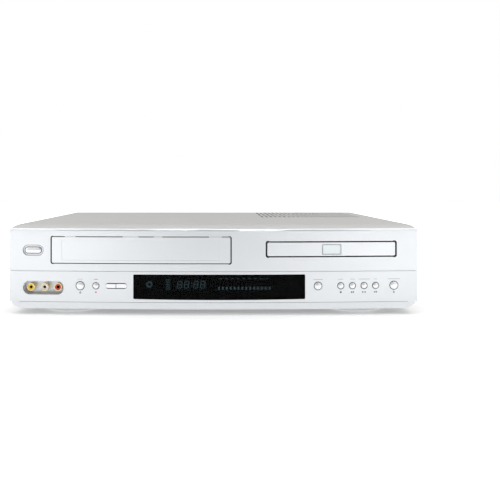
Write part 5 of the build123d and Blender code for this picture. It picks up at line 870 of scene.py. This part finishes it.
class PLAYER_OT_buttons(PieceOperator, bpy.types.Operator):
    """Finish the buttons and give them domed caps, and dark rims that paint the shade of the gaps round them
    """

    bl_idname = "player.buttons"
    bl_label = "Buttons"
    ROUND = ("vcr_eject", "record", "copy", "stop", "rewind", "play", "forward", "open")
    RIM_RISE = 0.16 * MM
    RIM_FIT = 0.03 * MM
    ROCKER_FIT = 0.15 * MM
    POST_SHADE_HALF = 0.18 * MM
    POWER_SET = 0.5 * MM  # power button's head behind the front's surface
    POWER_FIT = 0.1 * MM
    DISH_MARGIN = 2.2 * MM  # power button's dish beyond its head

    def head(self, low, high):
        """Place, half length and radius of a button's head, which its hidden flange surrounds."""
        radius = (high[2] - low[2]) / 2 - FLANGE_MARGIN
        place = ((low[0] + high[0]) / 2, (low[2] + high[2]) / 2)
        return place, (high[0] - low[0]) / 2 - FLANGE_MARGIN - radius, radius

    def cap(self, half_length, radius, place, inset):
        """Low dome over a round-ended outline: it rises as one minus the square of the share from its rim."""
        share = np.array([1.0, 1.0, 0.96, 0.86, 0.7, 0.5, 0.28, 0.0])
        rise = self.detail.dome * (1 - share**2)
        rise[0] = -0.2 * MM
        sizes = radius * np.maximum(share, 0.001)
        outlines = [stadium(half_length, size) for size in sizes]
        return ring_solid([bowed(outline, place, inset - up) for outline, up in zip(outlines, rise)])

    def rim(self, half_length, radius, place, inset, width):
        """Round-topped dark ring that stands on the front round a button, as painted shade of its gap."""
        rings = []
        for angle in np.linspace(0, 2 * pi, 10, endpoint=False):
            outline = stadium(half_length, radius + width / 2 * (1 + cos(angle)))
            rings.append(bowed(outline, place, inset - self.RIM_RISE * sin(angle)))
        return ring_loop(rings)

    def build(self, context):
        shade_rims = []
        for name in self.ROUND:
            node = f"{name}_button"
            finish_nodes(node)
            place, _, radius = self.head(*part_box(node))
            cap = self.cap(0.0, radius - 0.3 * MM, place, -BUTTON_PROUD)
            piece(f"{name}_cap", cap, node, "button_silver")
            shade_rims.append(self.rim(0.0, radius + self.RIM_FIT, place, LOWER_INSET, self.detail.rim))
        finish_nodes("channel_down_button", "channel_up_button", "power_button")
        low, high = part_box("channel_down_button")[0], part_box("channel_up_button")[1]
        place, half_length, radius = self.head(low, high)
        shade_rims.append(self.rim(half_length, radius + self.ROCKER_FIT, place, LOWER_INSET, self.detail.rim))
        # black post between the rocker's halves, proud of the front: painted shade of the gap between them
        post = SQUARE * (self.POST_SHADE_HALF, radius)
        post_shade = ring_solid([bowed(post, place, LOWER_INSET + back) for back in (2 * MM, -0.6 * MM)])
        piece("rocker_post_shade", post_shade, "case", "shade_black", 0.05 * MM)
        place, half_length, radius = self.head(*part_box("power_button"))
        cap = self.cap(half_length, radius - 0.2 * MM, place, self.POWER_SET)
        piece("power_cap", cap, "power_button", "button_silver")
        width = self.detail.thin_shade_rim
        shade_rims.append(self.rim(half_length, radius + self.POWER_FIT, place, self.POWER_SET + 0.35 * MM, width))
        shade_rims.append(self.rim(half_length, radius + self.DISH_MARGIN, place, 0.0, width * 0.7))
        # dark rings round the buttons and the power button's dish: painted shade of their gaps
        piece("button_rims", joined(shade_rims), "case", "rim_shade_grey")


class PLAYER_OT_marks(PieceOperator, bpy.types.Operator):
    """Print the plain rules over the buttons and the usual transport symbols under them"""

    bl_idname = "player.marks"
    bl_label = "Printed Marks"
    RULES = {
        "vcr_eject": 5.5,
        "copy": 9.5,
        "stop": 5.0,
        "rewind": 5.0,
        "play": 12.0,
        "forward": 3.0,
        "open": 13.0,
    }

    def triangle(self, turn, size):
        """Even triangle that points the given way."""
        angle = radians(turn) + np.array([0.0, 2 * pi / 3, 4 * pi / 3])
        return np.stack([np.cos(angle), np.sin(angle)], axis=-1) * size * 0.62

    def ink(self, name, outline, rise):
        """Print of an outline above or below a button."""
        place = front_middle(f"{name}_button") + (0.0, rise)
        return mark(outline, place, LOWER_INSET, self.detail.ink)

    def build(self, context):
        size = self.detail.mark_height
        left, right, up = (self.triangle(turn, size) for turn in (180, 0, 90))
        bar = SQUARE * (size * 0.11, size / 2)
        step = np.array([size * 0.5, 0.0])
        out_of = [up, SQUARE * (size / 2, size * 0.1) - (0, size * 0.65)]
        symbols = {
            "vcr_eject": out_of,
            "stop": [SQUARE * size * 0.45],
            "rewind": [left - step, left + step],
            "play": [right - step * 1.4, bar + step * 0.8, bar + step * 1.6],
            "forward": [right - step, right + step],
            "open": out_of,
        }
        above, below = self.detail.label_rise, -self.detail.symbol_drop
        dark = [self.ink(name, outline, below) for name, outlines in symbols.items() for outline in outlines]
        rules = {name: stadium(width / 2 * MM, 0.2 * MM, 6) for name, width in self.RULES.items()}
        faint = [self.ink(name, rule, above) for name, rule in rules.items()]
        red = [self.ink("record", stadium(0.0, size * 0.45, 12), below)]
        red.append(self.ink("record", stadium(2.0 * MM, 0.22 * MM, 6), above))
        piece("symbols", joined(dark), "case", "ink_dark", smooth=False)
        piece("label_rules", joined(faint), "case", "ink_faint", smooth=False)
        piece("record_mark", joined(red), "case", "ink_red", smooth=False)


class PLAYER_OT_front_sockets(PieceOperator, bpy.types.Operator):
    """Finish the front sockets and set black tubes in their bores, as painted shade of the deep holes"""

    bl_idname = "player.front_sockets"
    bl_label = "Front Sockets"
    COLOURS = ("yellow", "white", "red")
    BORE, RIM, MOUTH = 1.1, 1.55, 1.2

    def build(self, context):
        finish_nodes("av_jack_shells", *[f"av_insert_{colour}" for colour in self.COLOURS])
        tubes = []
        for colour in self.COLOURS:
            low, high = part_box(f"av_insert_{colour}")
            x, z = front_middle(f"av_insert_{colour}")
            deep = (high[1] - low[1]) / MM - self.MOUTH
            profile = [(self.BORE, self.MOUTH), (self.RIM, self.MOUTH), (self.RIM, deep), (self.BORE, deep)]
            tubes.append(hollow_ring(profile, np.array([x, low[1], z]), steps=24))
        # black tubes down the sockets' bores: painted shade of the deep holes
        piece("socket_bore_shades", joined(tubes), "case", "shade_black")


class PLAYER_OT_rear(PieceOperator, bpy.types.Operator):
    """Put collars round the rear sockets, threads on the aerial sockets and a blank plate beside them"""

    bl_idname = "player.rear"
    bl_label = "Rear Details"
    SHELL_R = 4.15 * MM
    COLLAR = (4.3, 6.1, 0.7)  # bore, rim and thickness
    COLUMNS = ("yellow", "white", "red", "white", "red")
    AERIALS = ((-41.0, 44.0), (-19.0, 44.0))
    THREAD = (4.7, 0.3, 0.83)  # root, height and pitch
    NUT = (4.72, 6.8, 1.5)
    PLATE = (-112.0, 62.0)  # middle
    PLATE_HALF = np.array([34.0, 15.0])
    PLATE_STEPS = ((1.0, 0.0), (1.0, 0.12), (0.995, 0.16))  # share of its outline, and distance from the wall
    # place from the plate's middle, and half length
    RULES = ((14.0, 8.0, 10.0), (8.0, 4.0, 16.0), (11.0, 0.0, 13.0), (6.0, -4.0, 18.0), (13.0, -8.0, 11.0))

    def thread(self, centre, start, end):
        """Sleeve whose radius waves with its height: root plus half the ridge times one less the cosine."""
        root, ridge, pitch = self.THREAD
        height = np.linspace(start, end, 61)
        radius = root + ridge / 2 * (1 - np.cos(2 * pi * (height - start) / pitch))
        return hollow_ring([*zip(radius, height), (root - 0.3, end), (root - 0.3, start)], centre)

    def build(self, context):
        finish_nodes("rear_jack_block", "rear_jack_shells", "rear_jack_inserts")
        finish_nodes("antenna_tuner", "power_inlet")
        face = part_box("rear_jack_block")[1][1]
        low, high = (np.array(corner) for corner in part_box("rear_jack_shells"))
        bore, rim, thick = self.COLLAR
        section = [(bore, 0.0), (rim, 0.0), (rim, thick * 0.7), (rim - thick * 0.3, thick), (bore, thick)]
        collars = {colour: [] for colour in self.COLUMNS}
        places = np.linspace(low[0] + self.SHELL_R, high[0] - self.SHELL_R, len(self.COLUMNS))
        for x, colour in zip(places, self.COLUMNS):
            for z in (low[2] + self.SHELL_R, high[2] - self.SHELL_R):
                collars[colour].append(hollow_ring(section, np.array([x, face, z])))
        for colour, shapes in collars.items():
            piece(f"rear_collars_{colour}", joined(shapes), "case", f"insert_{colour}")
        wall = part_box("rear_panel")[1][1]
        reach = (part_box("antenna_tuner")[1][1] - wall) / MM
        bore, rim, thick = self.NUT
        nut = [(bore, 0.0), (rim, 0.0), (rim, thick), (bore, thick)]
        centres = [np.array([x * MM, wall, z * MM]) for x, z in self.AERIALS]
        threads = [self.thread(centre, thick + 0.3, reach - 0.4) for centre in centres]
        piece("aerial_threads", joined(threads), "case", "can_tin")
        nuts = [hollow_ring(nut, centre, steps=6) for centre in centres]
        piece("aerial_nuts", joined(nuts), "case", "can_tin", 0.25 * MM)
        outline = rounded(self.PLATE_HALF, 2.0, 6)
        plates = [(outline * share + self.PLATE) * MM for share, _ in self.PLATE_STEPS]
        levels = [wall + out * MM for _, out in self.PLATE_STEPS]
        piece("blank_plate", raised(plates, levels, "y"), "case", "stripe_pale")
        bars = [(stadium(half, 0.35, 6) + (x, z) + self.PLATE) * MM for x, z, half in self.RULES]
        rules = [raised([bar, bar], (wall + 0.155 * MM, wall + 0.18 * MM), "y") for bar in bars]
        piece("plate_rules", joined(rules), "case", "grey_line_and_shade", smooth=False)


class PLAYER_OT_boards(PieceOperator, bpy.types.Operator):
    """Fit out the boards: chips, sleeved capacitors, a finned sink, a choke, resistors and a header"""

    bl_idname = "player.boards"
    bl_label = "Board Parts"
    TOP = 13.6  # upper face of the boards
    CHIPS = ((90.0, 95.0, 28.0), (140.0, 80.0, 20.0), (165.0, 120.0, 14.0))  # middle and side
    LEAD = [(0.0, 1.3), (0.7, 1.3), (1.0, 0.25), (1.8, 0.25)]  # upper side of a lead's outline
    LEAD += [(1.8, 0.02), (0.75, 0.02), (0.5, 1.05), (0.0, 1.05)]  # lower side, on the way back
    LEAD_PITCH = 1.27
    CANS = ((-176.0, 108.0, 8.0, 28.0), (-116.0, 104.0, 5.0, 18.0), (-116.0, 118.0, 5.0, 18.0))
    SMALL_CANS = ((-150.0, 146.0), (-138.0, 146.0), (-126.0, 146.0))
    LOOSE_CANS = ((180.0, 60.0), (188.0, 72.0), (60.0, 128.0), (72.0, 134.0), (118.0, 122.0), (130.0, 128.0))
    SINK = ((-195.0, 100.0, 13.6), (-192.0, 150.0, 45.6))
    FINS = (102.0, 9.0, 1.5)  # first one's place, pitch and thickness
    FIN_TIP, FIN_FOOT = -180.0, 17.6
    SKIN = 0.05  # of the sink's coat
    CHOKE = (-111.0, 133.0, 4.2, 1.7, 22)  # middle, ring, wire bundle and turns
    WIRE = 0.32
    WINDING = ((-144.0, 112.0), (9.0, 18.0), 17.6)  # middle, half sides and foot
    TAPE = ((0.0, 0.0), (0.8, 0.25), (11.0, 0.45), (21.2, 0.25), (22.0, 0.05))  # rise, and growth
    RESISTORS = ((10, 45.0, 44.0), (5, 112.0, 104.0))  # count and first place of each row
    RESISTOR_PITCH = 7.0
    BULGE = [(0.9, 1.7), (1.15, 2.1), (1.15, 2.9), (0.9, 3.2), (0.0, 3.2)]  # half a resistor's profile
    SHROUD = (((132.0, 38.0, 13.62), (172.0, 39.2, 19.6)), ((132.0, 39.2, 13.62), (172.0, 43.0, 15.2)))
    PIN = ((0.0, 0.0), (0.32, 0.0), (0.32, 5.2), (0.15, 5.6), (0.0, 5.6))
    PINS = (15, 134.0, 2.5, 41.2, 13.7)  # count, first x, pitch, y and z

    def chip(self, x, y, side):
        """Block whose upper edge is drawn in."""
        steps = ((side - 0.4, 0.3), (side + 0.1, 1.3), (side - 0.5, 3.05))
        flats = [(SQUARE / 2 * width + (x, y)) * MM for width, _ in steps]
        return raised(flats, [(self.TOP + rise) * MM for _, rise in steps])

    def leads(self, x, y, side):
        """Bent leads along the four sides: one outline, carried outward from each side at an even pitch."""
        count = int((side - 2.0) / self.LEAD_PITCH) + 1
        along = (np.arange(count) - (count - 1) / 2) * self.LEAD_PITCH
        outline = np.array(self.LEAD)
        shapes = []
        for turn in np.arange(4) * pi / 2:
            out = np.array([cos(turn), sin(turn)])
            across = np.array([-out[1], out[0]])
            for place in along:
                rings = []
                for half in (-0.2, 0.2):
                    flat = out * (side / 2 + outline[:, :1]) + across * (place + half) + (x, y)
                    rings.append(np.column_stack([flat, self.TOP + outline[:, 1]]) * MM)
                shapes.append(ring_solid(rings))
        return shapes

    def can(self, x, y, radius, height):
        """Sleeve that curls over the can's shoulder, the can's dished end, and the sleeve's pale stripe."""
        centre = np.array([x, y, self.TOP]) * MM
        wall, top, edge = radius + 0.1, height + 0.06, radius - 1.15
        curl = [(wall, 0.3), (wall, height - 1.0), (wall - 0.15, top - 0.25), (wall - 0.6, top)]
        curl += [(radius - 1.1, top), (radius - 1.1, top - 0.5), (radius - 0.6, 0.3)]
        dish = [(0.0, height - 0.3), (0.0, height + 0.01), (radius * 0.5, height + 0.01)]
        dish += [(edge, height + 0.04), (edge, height - 0.3)]
        angle = np.linspace(-0.4, 0.4, 8)
        arc = np.stack([np.cos(angle), np.sin(angle)], axis=-1)
        flat = (np.concatenate([arc * (wall + 0.03), arc[::-1] * (wall - 0.1)]) + (x, y)) * MM
        stripe = raised([flat, flat], [(self.TOP + rise) * MM for rise in (0.8, height - 1.2)])
        return hollow_ring(curl, centre, "z", 36), turned(dish, centre, "z", 36), stripe

    def choke(self):
        """Wire wound round a ring: a circle that turns many times on its way once round a larger one."""
        x, y, ring, bundle, turns = self.CHOKE
        along = np.linspace(0, 2 * pi, 24 * turns, endpoint=False)
        spoke = ring + bundle * np.cos(turns * along)
        path = [spoke * np.cos(along), spoke * np.sin(along), bundle * np.sin(turns * along)]
        path = np.stack(path, axis=-1)
        ahead = np.roll(path, -1, axis=0) - np.roll(path, 1, axis=0)
        ahead /= np.linalg.norm(ahead, axis=1, keepdims=True)
        side = np.cross(ahead, (0.0, 0.0, 1.0))
        side /= np.linalg.norm(side, axis=1, keepdims=True)
        up = np.cross(side, ahead)
        angle = np.linspace(0, 2 * pi, 8, endpoint=False)[:, None]
        tube = path[:, None] + self.WIRE * (side[:, None] * np.cos(angle) + up[:, None] * np.sin(angle))
        return ring_loop((tube + (x, y, self.TOP + bundle + 0.5)) * MM)

    def resistor(self, x, y):
        """Dog-bone body that lies along y."""
        profile = [(radius, -along) for radius, along in self.BULGE[::-1]] + self.BULGE
        return turned(profile, np.array([x, y, self.TOP + 1.4]) * MM, "y", 16)

    def wire(self, x, y):
        """Lead through a resistor: a straight run that turns down at both ends, as a flattened tube."""
        path = [(-5.0, 0.0), (-5.0, 1.0), (-4.6, 1.4), (4.6, 1.4), (5.0, 1.0), (5.0, 0.0)]
        tilt = [0.0, 0.4, 1.2, -1.2 + pi, -0.4 + pi, pi]
        angle = np.linspace(0, 2 * pi, 8, endpoint=False)
        across, spread = 0.3 * np.cos(angle), 0.3 * np.sin(angle)
        rings = []
        for (along, rise), lean in zip(path, tilt):
            ring = [x + across, y + along - spread * cos(lean), self.TOP + rise + spread * sin(lean)]
            rings.append(np.column_stack(ring) * MM)
        return ring_solid(rings)

    def sink(self):
        """Coat over the sink's plate and its six fins."""
        low, high = np.array(self.SINK)
        skin = self.SKIN
        start, pitch, thick = self.FINS
        plates = [slab(low - (skin, skin, 0), high + skin)]
        for y in start + pitch * np.arange(6):
            near = (high[0], y - skin, self.FIN_FOOT - skin)
            plates.append(slab(near, (self.FIN_TIP + skin, y + thick + skin, high[2] + skin)))
        return joined(plates)

    def build(self, context):
        finish_nodes("main_board", "power_board", "transformer")
        bodies = joined([self.chip(*chip) for chip in self.CHIPS])
        piece("chip_bodies", bodies, "case", "part_black", 0.1 * MM)
        leads = [lead for chip in self.CHIPS for lead in self.leads(*chip)]
        piece("chip_leads", joined(leads), "case", "can_tin", smooth=False)
        cans = [*self.CANS, *[(*spot, 4.5, 20.0) for spot in self.SMALL_CANS]]
        cans += [(*spot, 3.0, 9.0) for spot in self.LOOSE_CANS]
        sleeves, ends, stripes = zip(*[self.can(*row) for row in cans])
        piece("can_sleeves", joined(sleeves), "case", "sleeve_blue")
        piece("can_ends", joined(ends), "case", "can_tin")
        piece("can_stripes", joined(stripes), "case", "stripe_pale")
        piece("sink_skin", self.sink(), "case", "sink_black", 0.2 * MM)
        piece("choke", self.choke(), "case", "coil_copper")
        middle, half, foot = self.WINDING
        flats = [(SQUARE * np.add(half, grown) + middle) * MM for _, grown in self.TAPE]
        tape = raised(flats, [(foot + rise) * MM for rise, _ in self.TAPE])
        piece("winding_tape", tape, "case", "tape_yellow", 0.5 * MM)
        pitch = self.RESISTOR_PITCH
        spots = [(x + pitch * column, y) for count, x, y in self.RESISTORS for column in range(count)]
        piece("resistors", joined([self.resistor(*spot) for spot in spots]), "case", "resistor_tan")
        piece("resistor_leads", joined([self.wire(*spot) for spot in spots]), "case", "can_tin")
        shroud = joined([slab(*corners) for corners in self.SHROUD])
        piece("header_shroud", shroud, "case", "gear_white", 0.2 * MM)
        count, x, pitch, y, z = self.PINS
        feet = [np.array([x + pitch * column, y, z]) * MM for column in range(count)]
        pins = joined([turned(self.PIN, foot, "z", 8) for foot in feet])
        piece("header_pins", pins, "case", "can_tin")


# The tape mechanism behind the door and the disc drive round the tray keep the plain finishes of their nodes.
OPERATORS = (
    PLAYER_OT_finishes,
    PLAYER_OT_stage,
    PLAYER_OT_casing,
    PLAYER_OT_gap_shades,
    PLAYER_OT_door,
    PLAYER_OT_tray,
    PLAYER_OT_window,
    PLAYER_OT_buttons,
    PLAYER_OT_marks,
    PLAYER_OT_front_sockets,
    PLAYER_OT_rear,
    PLAYER_OT_boards,
)


class PLAYER_PT_sidebar(bpy.types.Panel):
    """Lists the pieces of the player"""

    bl_idname = "PLAYER_PT_sidebar"
    bl_label = "Disc and Cassette Player"
    bl_space_type = "VIEW_3D"
    bl_region_type = "UI"
    bl_category = "Player"

    def draw(self, context):
        for operator in OPERATORS:
            self.layout.operator(operator.bl_idname)


SETTINGS = {
    "player_finish": PLAYER_PG_finish,
    "player_detail": PLAYER_PG_detail,
    "player_stage": PLAYER_PG_stage,
}


def register():
    for group in SETTINGS.values():
        bpy.utils.register_class(group)
    for name, group in SETTINGS.items():
        setattr(bpy.types.Scene, name, bpy.props.PointerProperty(type=group))
    for operator in OPERATORS:
        bpy.utils.register_class(operator)
    bpy.utils.register_class(PLAYER_PT_sidebar)


def unregister():
    bpy.utils.unregister_class(PLAYER_PT_sidebar)
    for operator in reversed(OPERATORS):
        bpy.utils.unregister_class(operator)
    for name, group in SETTINGS.items():
        delattr(bpy.types.Scene, name)
        bpy.utils.unregister_class(group)


def main():
    """Registers the add-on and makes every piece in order."""
    register()
    for operator in OPERATORS:
        getattr(bpy.ops.player, operator.bl_idname.split(".")[1])()


if __name__ == "__main__":
    main()
